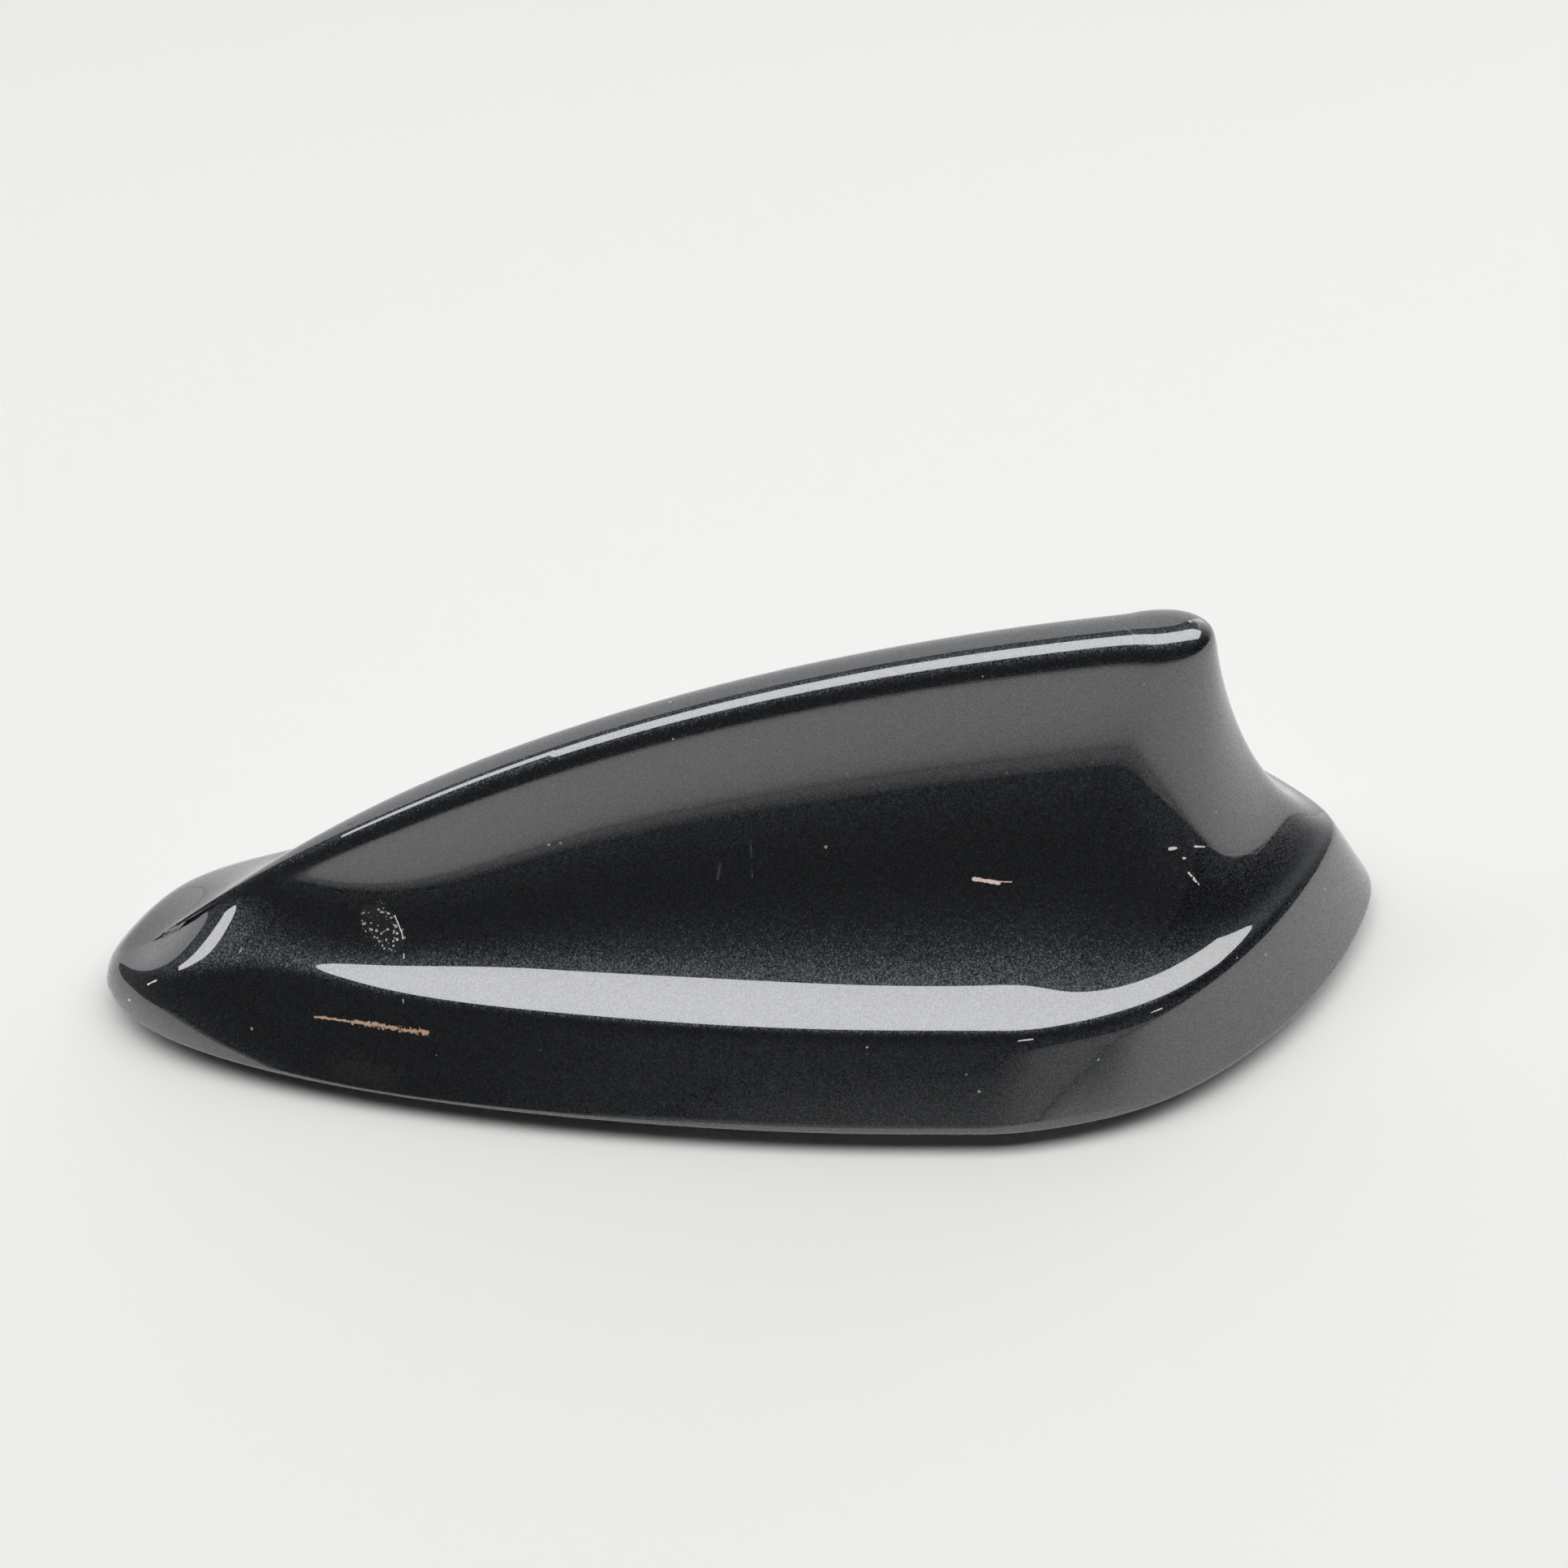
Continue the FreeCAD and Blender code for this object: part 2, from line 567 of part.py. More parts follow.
def make_cover_screws():
    screws = []
    for spot in COVER_SCREWS:
        shank = peg(spot, HEAD_SEAT, SCREW_RADIUS, PAD_TOP + SCREW_BITE - HEAD_SEAT)
        head = peg(spot, HEAD_SEAT - SCREW_HEAD_HEIGHT, SCREW_HEAD_RADIUS, SCREW_HEAD_HEIGHT)
        screws.append(shank.fuse(head))
    return Part.makeCompound(screws)


def fin_board_face(y):
    """Outline of the upright board: it stands on the main board and leans up to the crest."""
    front, rear = FIN_BOARD_FRONT_FROM_NOSE, LENGTH - FIN_BOARD_REAR_FROM_TAIL
    shoulder = front + FIN_BOARD_SHOULDER
    below_crest = RIM_LIFT - FIN_BOARD_BELOW_CREST
    corners = [Vector(place(front), y, BOARD_TOP), Vector(place(rear), y, BOARD_TOP),
               Vector(place(rear), y, crest(rear)[0] + below_crest),
               Vector(place(shoulder), y, crest(shoulder)[0] + below_crest)]
    return Part.Face(Part.makePolygon(corners + corners[:1]))


def make_fin_board():
    board = fin_board_face(-FIN_BOARD_THICKNESS / 2).extrude(Vector(0, FIN_BOARD_THICKNESS, 0))
    return board.cut(bracket_block(BOARD_TOP, 2 * BRACKET_HALF, BRACKET_FLOOR))


def make_phone_radiator():
    """Copper on one face of the upright board, with slots that fold its path."""
    face = fin_board_face(-FIN_BOARD_THICKNESS / 2).makeOffset2D(-RADIATOR_MARGIN)
    foil = face.extrude(Vector(0, -RADIATOR_THICKNESS, 0))
    box = foil.BoundBox
    slot_height = box.ZLength * RADIATOR_SLOT_REACH
    slots = []
    for index in range(RADIATOR_SLOTS):
        x = box.XMax - box.XLength * RADIATOR_SLOT_REACH * (index + 1) / (RADIATOR_SLOTS + 1)
        bottom = box.ZMin if index % 2 else box.ZMax - slot_height
        slots.append(block(Vector(x, 0, 0), bottom, RADIATOR_SLOT, 2 * FIN_BOARD_THICKNESS, slot_height))
    return foil.cut(slots)


def bracket_block(bottom, width, height):
    """Block under the upright board, from near its front to a little before the clips."""
    front = place(FIN_BOARD_FRONT_FROM_NOSE) + BRACKET_FROM_FRONT
    rear = CLIP_START - BRACKET_FROM_CLIP
    return Part.makeBox(rear - front, width, height, Vector(front, -width / 2, bottom))


def make_fin_board_bracket():
    """Moulded channel that holds the upright board's foot."""
    slot = bracket_block(BOARD_TOP + BRACKET_FLOOR, FIN_BOARD_THICKNESS + RADIATOR_THICKNESS, BRACKET_HEIGHT)
    slot.translate(Vector(0, -RADIATOR_THICKNESS / 2, 0))
    return bracket_block(BOARD_TOP, 2 * BRACKET_HALF, BRACKET_HEIGHT).cut(slot)


def make_feed_clips():
    """Two bent springs on the main board, one against the copper and one against the bare face."""
    clips = []
    for face_y, side in ((-FIN_BOARD_THICKNESS / 2 - RADIATOR_THICKNESS, -1), (FIN_BOARD_THICKNESS / 2, 1)):
        corners = [(0, 0), (CLIP_FOOT, 0), (CLIP_FOOT, CLIP_SHEET), (CLIP_SHEET, CLIP_SHEET),
                   (CLIP_SHEET, CLIP_HEIGHT), (0, CLIP_HEIGHT)]
        points = [Vector(CLIP_START, face_y + side * across, BOARD_TOP + up) for across, up in corners]
        clips.append(Part.Face(Part.makePolygon(points + points[:1])).extrude(Vector(CLIP_LENGTH, 0, 0)))
    return Part.makeCompound(clips)


def make_patch_tape():
    tape = block(PATCH, BOARD_TOP, PATCH_SIDE, PATCH_SIDE, PATCH_TAPE, PATCH_CORNER)
    return tape.cut(peg(PATCH_PIN, BOARD_TOP, PATCH_PIN_RADIUS, PATCH_TAPE))


def make_patch_ceramic():
    tile = block(PATCH, BOARD_TOP + PATCH_TAPE, PATCH_SIDE, PATCH_SIDE, PATCH_HEIGHT, PATCH_CORNER)
    return tile.cut(peg(PATCH_PIN, BOARD_TOP, PATCH_PIN_RADIUS, PATCH_TAPE + PATCH_HEIGHT))


def make_patch_electrode():
    top = BOARD_TOP + PATCH_TAPE + PATCH_HEIGHT
    silver = block(PATCH, top, ELECTRODE_SIDE, ELECTRODE_SIDE, ELECTRODE_THICKNESS, PATCH_CORNER)
    return silver.cut(peg(PATCH_PIN, top, PATCH_PIN_RADIUS, ELECTRODE_THICKNESS))


def make_patch_pin():
    top = BOARD_TOP + PATCH_TAPE + PATCH_HEIGHT + ELECTRODE_THICKNESS
    head = peg(PATCH_PIN, top, 2 * PATCH_PIN_RADIUS, PATCH_PIN_HEAD)
    return peg(PATCH_PIN, BOARD_LIFT, PATCH_PIN_RADIUS, top - BOARD_LIFT).fuse(head)


def make_shield_can():
    """Thin screening can, open towards the board."""
    center = Vector(place(CAN_FROM_NOSE), CAN_OFFSET, 0)
    can = block(center, BOARD_TOP, CAN_LENGTH, CAN_WIDTH, CAN_HEIGHT, CAN_CORNER)
    return can.cut(block(center, BOARD_TOP, CAN_LENGTH - 2 * CAN_SHEET, CAN_WIDTH - 2 * CAN_SHEET,
                         CAN_HEIGHT - CAN_SHEET, CAN_CORNER - CAN_SHEET))


def make_socket(spot, key_side):
    """Moulded socket housing, open downwards, with a key rib that fits only its own plug."""
    bottom = SOCKET_MOUTH_LIFT
    housing = block(spot, bottom, SOCKET_SIDE, SOCKET_SIDE, BOARD_LIFT - bottom, SOCKET_CORNER)
    mouth = block(spot, bottom, SOCKET_MOUTH, SOCKET_MOUTH, BOARD_LIFT - SOCKET_FLOOR - bottom, SOCKET_CORNER)
    key_spot = spot + Vector(key_side * (SOCKET_MOUTH - SOCKET_KEY) / 2, 0, 0)
    key_bottom = SOCKET_CONTACT_LIFT
    key = block(key_spot, key_bottom, SOCKET_KEY, SOCKET_KEY, BOARD_LIFT - SOCKET_FLOOR - key_bottom)
    return housing.cut(mouth).fuse(key).cut(peg(spot, BOARD_LIFT - SOCKET_FLOOR, SHELL_RADIUS, SOCKET_FLOOR))


def socket_tubes(bottom, outer_radius, inner_radius):
    tubes = []
    for spot in SOCKETS:
        tube = peg(spot, bottom, outer_radius, BOARD_LIFT - bottom)
        if inner_radius:
            tube = tube.cut(peg(spot, bottom, inner_radius, BOARD_LIFT - bottom))
        tubes.append(tube)
    return Part.makeCompound(tubes)


def make_vent_membrane():
    return peg(VENT, BASE_TOP, VENT_RADIUS, VENT_THICKNESS)


def make_parts():
    return {
        "fin_cover": make_fin_cover(),
        "base_plate": make_base_plate(),
        "fixing_block": make_fixing_block(),
        "socket_block": make_socket_block(),
        "cover_seal": make_cover_seal(),
        "roof_seal": make_roof_seal(),
        "bolt_bush": make_bolt_bush(),
        "main_board": make_main_board(),
        "board_screws": make_board_screws(),
        "cover_screws": make_cover_screws(),
        "fin_board": make_fin_board(),
        "phone_radiator": make_phone_radiator(),
        "fin_board_bracket": make_fin_board_bracket(),
        "feed_clips": make_feed_clips(),
        "patch_tape": make_patch_tape(),
        "patch_ceramic": make_patch_ceramic(),
        "patch_electrode": make_patch_electrode(),
        "patch_pin": make_patch_pin(),
        "shield_can": make_shield_can(),
        "position_socket": make_socket(SOCKETS[0], -1),
        "phone_socket": make_socket(SOCKETS[1], 1),
        "socket_shells": socket_tubes(SOCKET_CONTACT_LIFT, SHELL_RADIUS, SHELL_RADIUS - SHELL_WALL),
        "socket_cores": socket_tubes(CORE_LIFT, SHELL_RADIUS - SHELL_WALL, PIN_RADIUS),
        "socket_pins": socket_tubes(SOCKET_CONTACT_LIFT + PIN_RECESS, PIN_RADIUS, 0),
        "vent_membrane": make_vent_membrane(),
    }


def main():
    os.makedirs("parts", exist_ok=True)
    for name, shape in make_parts().items():
        shape.exportStep("parts/" + name + ".step")
        print(name, len(shape.Solids), shape.isValid(), round(shape.Volume, 1))


if __name__ == "__main__":
    main()
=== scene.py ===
# %% [markdown]
# # A shark fin roof antenna
# The antenna sits on a car's roof. All that shows of it is one moulded cover, painted like the car,
# and under it a base that is bolted to the roof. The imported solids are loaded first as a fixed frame:
# every piece below is placed in the same frame, in metres, and what isn't rebuilt here keeps its
# solid and gets a finish.

# %% Load the frame
import math
import bmesh
import bpy
from mathutils import Matrix, Vector
from mathutils.bvhtree import BVHTree


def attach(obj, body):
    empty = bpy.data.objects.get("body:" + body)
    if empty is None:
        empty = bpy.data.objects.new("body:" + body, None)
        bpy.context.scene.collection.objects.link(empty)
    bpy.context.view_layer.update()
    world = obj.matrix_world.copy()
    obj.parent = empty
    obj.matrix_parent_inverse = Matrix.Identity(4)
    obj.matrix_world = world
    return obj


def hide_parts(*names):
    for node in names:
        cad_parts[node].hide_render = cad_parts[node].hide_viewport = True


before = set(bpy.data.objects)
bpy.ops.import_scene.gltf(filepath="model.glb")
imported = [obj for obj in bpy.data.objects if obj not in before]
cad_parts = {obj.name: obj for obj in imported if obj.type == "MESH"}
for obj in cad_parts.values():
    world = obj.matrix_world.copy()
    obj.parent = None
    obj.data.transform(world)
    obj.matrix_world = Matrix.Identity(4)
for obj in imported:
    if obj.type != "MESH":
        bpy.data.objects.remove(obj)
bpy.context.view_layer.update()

MM = 0.001
print("solids:", sorted(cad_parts))

# %% [markdown]
# ## The form of the cover
# The cover is a double-curved skin: a leaf-shaped rim, a skirt that leans in to a soft ridge, hollow
# flanks that sweep up to a narrow crest, and a blunt nose. Box modelling by eye would drift from the
# solid, and the solid's own triangles are too coarse for a clear coat that mirrors long lamps. So the
# skin is built from the same few measures as the solid, in millimetres from the nose and the rim.

# %% Measures of the cover
BOLT_FROM_NOSE = 92.0
RIM_LIFT = 3.0
LENGTH, WIDTH, WIDEST_FROM_NOSE = 165.0, 72.6, 113.8
NOSE_FULLNESS, FRONT_FULLNESS, REAR_FULLNESS, TAIL_FULLNESS = 0.60, 0.21, 0.58, 0.22
WALL = 2.2
FIN_HEIGHT, FIN_REAR_FROM_NOSE = 47.6, 138.0
CREST_CURVE = (Vector((1.5, 2.6)), Vector((13.918, 9.064)), Vector((48.001, 47.129)), Vector((138.0, 47.6)))
CREST_FRONT_HALF, CREST_REAR_HALF, CREST_EDGE_DROP, CREST_CROWN = 3.0, 4.3, 1.5, 0.2
PANEL_DROP, PANEL_STEP = 4.2, 0.55
SPINE_FRONT_FROM_NOSE, SPINE_REAR_LENGTH = 9.0, 5.0
BOSS_SPOTS = ((-57.0, 0.0), (54.0, 0.0), (9.0, -22.5), (9.0, 22.5))
BOSS_RADIUS, BOSS_HOLE_RADIUS, BOSS_HOLE_DEPTH, BOSS_FOOT = 3.0, 1.3, 4.0, 8.0
BOSS_STUB, BOSS_HEAD_UNDER_SKIN = 10.0, 1.2
RIM_ROUNDING, ROOM_FOR_ROUNDING = 1.1, 1.54
print("cover:", LENGTH, "by", WIDTH, "by", FIN_HEIGHT + RIM_LIFT, "mm")

# %% [markdown]
# Along the way round the cover, the side, the front and the tail each have their own ridge, slopes
# and hollow. A column of the skin blends these three by where it stands.

# %% Measures of the flank: at the side, the front and the tail
RIDGE_INSET = (6.8, 10.5, 7.4)
RIDGE_HEIGHT = (11.8, 8.5, 12.0)
FLARE_SLOPE = (8.0, 10.0, 10.0)
FLARE_HOLD = (0.35, 0.30, 0.46)
PANEL_SLOPE = (80.0, 80.0, 79.0)
PANEL_HOLD = (0.62, 0.62, 0.36)
RIDGE_EDGE, SKIRT_EDGE, FRONT_SHARE = 2.0, 2.6, 0.7
HOLLOW_START_FROM_NOSE, HOLLOW_FULL_FROM_NOSE, NOSE_ROUNDNESS = 6.0, 30.0, 1.7
FLANK_STEPS = (0.3, 0.55, 0.8)
ROW_ANGLES = (0, 12, 24, 33, 38, 47, 57, 67, 75, 81, 86, 90)
ROW_LEANS = (0, 0, 0, 0, 0, 0.15, 0.35, 0.6, 0.85, 1, 1, 1)
NOSE_COLUMNS, TAIL_COLUMNS = 10, 6


def blend(share, start, end):
    return start + (end - start) * share


def ease(share):
    share = min(max(share, 0.0), 1.0)
    return share * share * (3 - 2 * share)


def bezier(points, t):
    s = 1 - t
    return (points[0] * s ** 3 + points[1] * (3 * s * s * t)
            + points[2] * (3 * s * t * t) + points[3] * t ** 3)


print("rows and columns of one half:", len(ROW_ANGLES), "by", NOSE_COLUMNS + TAIL_COLUMNS + 1)

# %% [markdown]
# The rim is two smooth curves a side, from the nose to the widest place and on to the tail. The crest
# is one curve seen from the side. A point is found on it by halving the curve until it is near enough.

# %% Rim, crest and spine
def rim_points():
    widest = Vector((WIDEST_FROM_NOSE, WIDTH / 2))
    front = (Vector((0, 0)), Vector((0, NOSE_FULLNESS * widest.y)),
             Vector((blend(FRONT_FULLNESS, widest.x, 0), widest.y)), widest)
    rear = (widest, Vector((blend(REAR_FULLNESS, widest.x, LENGTH), widest.y)),
            Vector((LENGTH, TAIL_FULLNESS * widest.y)), Vector((LENGTH, 0)))
    points = []
    for step in range(NOSE_COLUMNS + 1):
        points.append(bezier(front, 1 - (1 - (step / NOSE_COLUMNS) ** 1.5) ** 1.2))
    for step in range(1, TAIL_COLUMNS + 1):
        points.append(bezier(rear, 1 - (1 - step / TAIL_COLUMNS) ** 0.9))
    return points


def crest(x):
    low, high = 0.0, 1.0
    for _ in range(30):
        middle = (low + high) / 2
        low, high = (middle, high) if bezier(CREST_CURVE, middle).x < x else (low, middle)
    step = 0.0005
    before, after = bezier(CREST_CURVE, max(low - step, 0)), bezier(CREST_CURVE, min(low + step, 1))
    return bezier(CREST_CURVE, low).y, (after.y - before.y) / (after.x - before.x)


def spine_places():
    end = FIN_REAR_FROM_NOSE - CREST_REAR_HALF
    start = end - SPINE_REAR_LENGTH
    places = [blend(point.x / WIDEST_FROM_NOSE, SPINE_FRONT_FROM_NOSE, start)
              for point in rim_points()[:NOSE_COLUMNS + 1]]
    for step in range(1, TAIL_COLUMNS + 1):
        places.append(blend(1 - (1 - step / TAIL_COLUMNS) ** 2.4, start, end))
    return places


print("crest at the tail:", [round(value, 3) for value in crest(FIN_REAR_FROM_NOSE)])

# %% [markdown]
# A section leads from the rim up to the crest: skirt, ridge, hollow flank, a small step under the
# crest and the crest's rounded edge. Near the nose it melts into a plain rounded section, because the
# real hollow only starts behind the nose.

# %% One section of the skin
def section(rim, spine_x):
    height = crest(spine_x)[0]
    outward = rim - Vector((spine_x, 0))
    reach = outward.length
    tail = ease(outward.x / reach)
    front = ease(1 - rim.x / WIDEST_FROM_NOSE / FRONT_SHARE) * (1 - tail)

    def local(places):
        return places[0] + (places[1] - places[0]) * front + (places[2] - places[0]) * tail

    half = blend(spine_x / FIN_REAR_FROM_NOSE, CREST_FRONT_HALF, CREST_REAR_HALF)
    corner = Vector((reach, 0))
    ridge = Vector((reach - local(RIDGE_INSET), local(RIDGE_HEIGHT)))
    panel = Vector((half + PANEL_STEP, height - PANEL_DROP))
    flare_run = (ridge.x - panel.x) * local(FLARE_HOLD)
    panel_rise = (panel.y - ridge.y) * local(PANEL_HOLD)
    flank = (ridge, ridge + Vector((-1, math.tan(math.radians(local(FLARE_SLOPE))))) * flare_run,
             panel - Vector((-1 / math.tan(math.radians(local(PANEL_SLOPE))), 1)) * panel_rise, panel)
    skirt = (corner - ridge).normalized()
    first_step = min(RIDGE_EDGE / (flank[1] - ridge).length, FLANK_STEPS[0]) / 3
    rows = [corner, corner - skirt * SKIRT_EDGE, ridge + skirt * RIDGE_EDGE, ridge, bezier(flank, first_step)]
    rows += [bezier(flank, step) for step in FLANK_STEPS]
    rows += [panel, Vector((half, height - CREST_EDGE_DROP)), Vector((half / 2, height - CREST_CROWN)),
             Vector((0, height))]
    share = ease((rim.x - HOLLOW_START_FROM_NOSE) / (HOLLOW_FULL_FROM_NOSE - HOLLOW_START_FROM_NOSE))
    for index, angle in enumerate(ROW_ANGLES):
        turn = math.radians(angle)
        plain = Vector((reach * math.cos(turn) ** NOSE_ROUNDNESS, height * math.sin(turn)))
        rows[index] = blend(share, plain, rows[index])
    return rows


widest_section = section(rim_points()[NOSE_COLUMNS], spine_places()[NOSE_COLUMNS])
print("section at the widest place:", [tuple(round(value, 1) for value in row) for row in widest_section])

# %% [markdown]
# The inner side of the moulded wall follows one wall's thickness further in, with fewer rows, and ends
# level with the rim.

# %% The wall's inner section
INNER_ROWS = (1, 3, 5, 7, 8, 11)


def inner_section(rows):
    inner = []
    for index in INNER_ROWS:
        after = rows[index + 1] if index + 1 < len(rows) else Vector((-rows[-2].x, rows[-2].y))
        along = (after - rows[index - 1]).normalized()
        inner.append(rows[index] + Vector((-along.y, along.x)) * WALL)
    down = (inner[0] - inner[1]) / (inner[1].y - inner[0].y)
    return [inner[0] + down * inner[0].y] + inner


print("inner rows:", len(inner_section(widest_section)))

# %% [markdown]
# The columns are turned into control rows whose smooth curves pass through the section points, and the
# skin is read from them as a fine grid. This is what a subdivision surface does from a cage, only the
# curve goes through the points, so the sizes stay true. The first rows above the rim are left out, to
# give the rounding of its edge a plain strip to sit on.

# %% From sections to a fine grid of points
def mirrored(point):
    return Vector((point.x, -point.y, point.z))


def beyond(end, before):
    return mirrored(before) if before.y else end * 2 - before


def drawn_out(row):
    control = list(row)
    for _ in range(14):
        around = [beyond(control[0], control[1])] + control + [beyond(control[-1], control[-2])]
        smooth = [(a + b * 4 + c) / 6 for a, b, c in zip(around, around[1:], around[2:])]
        control = [here + wanted - got for here, wanted, got in zip(control, row, smooth)]
    return control


def smooth_points(points, past_start, past_end, steps):
    around = [past_start] + list(points) + [past_end]
    found = []
    for index in range((len(points) - 1) * steps + 1):
        span = min(index // steps, len(points) - 2)
        t = index / steps - span
        weights = ((1 - t) ** 3, 3 * t ** 3 - 6 * t * t + 4, -3 * t ** 3 + 3 * t * t + 3 * t + 1, t ** 3)
        found.append(sum((p * w for p, w in zip(around[span:span + 4], weights)), Vector()) / 6)
    return found


def skin_rows(inner, row_steps, column_steps):
    columns = []
    leans = [0] + [ROW_LEANS[index] for index in INNER_ROWS] if inner else ROW_LEANS
    for rim, spine_x in zip(rim_points(), spine_places()):
        rows = inner_section(section(rim, spine_x)) if inner else section(rim, spine_x)
        outward = (rim - Vector((spine_x, 0))).normalized()
        slope = crest(spine_x)[1]
        column = []
        for row, lean in zip(rows, leans):
            x = spine_x + outward.x * row.x
            column.append(Vector((x - BOLT_FROM_NOSE, -outward.y * row.x,
                                  RIM_LIFT + row.y + lean * slope * (x - spine_x))) * MM)
        columns.append(column)
    control = [drawn_out(row) for row in zip(*columns)]
    columns = [smooth_points(c, c[0] * 2 - c[1], mirrored(c[-2]), row_steps) for c in zip(*control)]
    return [smooth_points(r, beyond(r[0], r[1]), beyond(r[-1], r[-2]), column_steps) for r in zip(*columns)]


OUTER_ROW_STEPS, INNER_ROW_STEPS, COLUMN_STEPS = 8, 4, 8
rim_row, *rows_above = skin_rows(False, OUTER_ROW_STEPS, COLUMN_STEPS)
widest = max(range(len(rim_row)), key=lambda column: abs(rim_row[column].y))
outer_rows = [rim_row]
outer_rows += [row for row in rows_above if (row[widest] - rim_row[widest]).length > ROOM_FOR_ROUNDING * MM]
inner_rows = skin_rows(True, INNER_ROW_STEPS, COLUMN_STEPS)
print("outer grid:", len(outer_rows), "by", len(outer_rows[0]))
print("inner grid:", len(inner_rows), "by", len(inner_rows[0]))

# %% [markdown]
# Each skin starts as a plain grid whose vertices are moved to these points. The half is mirrored, and
# its middle line is merged. Bridging the open loops joins the two rims, and a bevel rounds the outer
# edge of the rim, which catches a thin line of light on the real cover. One fault is left: where the
# crest ends at the nose a few points lie so close that tiny edges stay open, the bridge takes them in
# too, and that leaves a sheet of faces inside the cover. The printed count shows it.

# %% Cover shell
MERGE_WITHIN = 1e-6


def add_skin(bm, rows):
    across, along = len(rows[0]) - 1, len(rows) - 1
    made = bmesh.ops.create_grid(bm, x_segments=across, y_segments=along, size=0.5)["verts"]
    for vertex in made:
        column = round((vertex.co.x + 0.5) * across)
        row = round((vertex.co.y + 0.5) * along)
        vertex.co = rows[row][column]
    faces = list({face for vertex in made for face in vertex.link_faces})
    edges = list({edge for face in faces for edge in face.edges})
    bmesh.ops.mirror(bm, geom=made + edges + faces, axis="Y", merge_dist=MERGE_WITHIN)


def placed_object(bm, name):
    mesh = bpy.data.meshes.new(name)
    bm.to_mesh(mesh)
    bm.free()
    piece = bpy.data.objects.new(name, mesh)
    bpy.context.scene.collection.objects.link(piece)
    return piece


bm = bmesh.new()
add_skin(bm, outer_rows)
bmesh.ops.remove_doubles(bm, verts=bm.verts, dist=MERGE_WITHIN)
outer_rim = [edge for edge in bm.edges if edge.is_boundary]
outer_skin = BVHTree.FromBMesh(bm)
add_skin(bm, inner_rows)
bmesh.ops.remove_doubles(bm, verts=bm.verts, dist=MERGE_WITHIN)
bmesh.ops.bridge_loops(bm, edges=[edge for edge in bm.edges if edge.is_boundary])
bmesh.ops.recalc_face_normals(bm, faces=bm.faces)
bmesh.ops.bevel(bm, geom=outer_rim, offset=RIM_ROUNDING * MM, segments=6, profile=0.5,
                affect="EDGES", material=-1)
print("cover:", len(bm.faces), "faces, rounded rim edges:", len(outer_rim),
      "open edges:", sum(not edge.is_manifold for edge in bm.edges))

# %% [markdown]
# Four bosses under the skin take the screws that hold the cover to its base. Each is a cylinder with a
# blind hole in its foot, and its head is raised point by point until it lies inside the wall.

# %% Screw bosses
for spot in BOSS_SPOTS:
    middle = Vector((*spot, BOSS_FOOT + BOSS_STUB / 2)) * MM
    made = bmesh.ops.create_cone(bm, cap_ends=True, segments=32, radius1=BOSS_RADIUS * MM,
                                 radius2=BOSS_RADIUS * MM, depth=BOSS_STUB * MM,
                                 matrix=Matrix.Translation(middle))["verts"]
    faces = {face for vertex in made for face in vertex.link_faces}
    sole = min(faces, key=lambda face: face.calc_center_median().z)
    bmesh.ops.inset_individual(bm, faces=[sole], thickness=(BOSS_RADIUS - BOSS_HOLE_RADIUS) * MM)
    hole = bmesh.ops.extrude_discrete_faces(bm, faces=[sole])["faces"]
    bmesh.ops.translate(bm, verts=hole[0].verts, vec=(0, 0, BOSS_HOLE_DEPTH * MM))
    for vertex in made:
        if vertex.co.z > middle.z:
            above = outer_skin.ray_cast(Vector((vertex.co.x, vertex.co.y, 0.1)), Vector((0, 0, -1)))[0]
            vertex.co.z = above.z - BOSS_HEAD_UNDER_SKIN * MM
bmesh.ops.recalc_face_normals(bm, faces=bm.faces)
print("with bosses:", len(bm.faces), "faces, open edges:", sum(not edge.is_manifold for edge in bm.edges))
cover = placed_object(bm, "fin_cover_shell")
cover.data.shade_smooth()
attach(cover, "root")
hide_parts("fin_cover")

# %% [markdown]
# ## Shared effects
# Grain and dust show up in several finishes, so each is one node group with its own inputs, placed in
# a material with that material's values.

# %% Helpers for node trees
def add_node(tree, kind, **inputs):
    node = tree.nodes.new(kind)
    for name, value in inputs.items():
        key = name.replace("_", " ")
        if hasattr(value, "is_linked"):
            tree.links.new(value, node.inputs[key])
        else:
            node.inputs[key].default_value = value
    return node


def math_node(tree, operation, *values, clamp=False):
    node = tree.nodes.new("ShaderNodeMath")
    node.operation = operation
    node.use_clamp = clamp
    for socket, value in zip(node.inputs, values):
        if hasattr(value, "is_linked"):
            tree.links.new(value, socket)
        else:
            socket.default_value = value
    return node.outputs[0]


def vector_node(tree, operation, *values):
    node = tree.nodes.new("ShaderNodeVectorMath")
    node.operation = operation
    for socket, value in zip(node.inputs, values):
        if hasattr(value, "is_linked"):
            tree.links.new(value, socket)
        else:
            socket.default_value = value
    return node


def mix_color(tree, factor, first, second):
    node = tree.nodes.new("ShaderNodeMix")
    node.data_type = "RGBA"
    for socket, value in ((node.inputs[0], factor), (node.inputs[6], first), (node.inputs[7], second)):
        if hasattr(value, "is_linked"):
            tree.links.new(value, socket)
        else:
            socket.default_value = value
    return node.outputs[2]


def new_group(name, inputs, outputs):
    group = bpy.data.node_groups.new(name, "ShaderNodeTree")
    for label, kind, default in inputs:
        socket = group.interface.new_socket(name=label, in_out="INPUT", socket_type=kind)
        if default is not None:
            socket.default_value = default
    for label, kind in outputs:
        group.interface.new_socket(name=label, in_out="OUTPUT", socket_type=kind)
    return group, group.nodes.new("NodeGroupInput"), group.nodes.new("NodeGroupOutput")


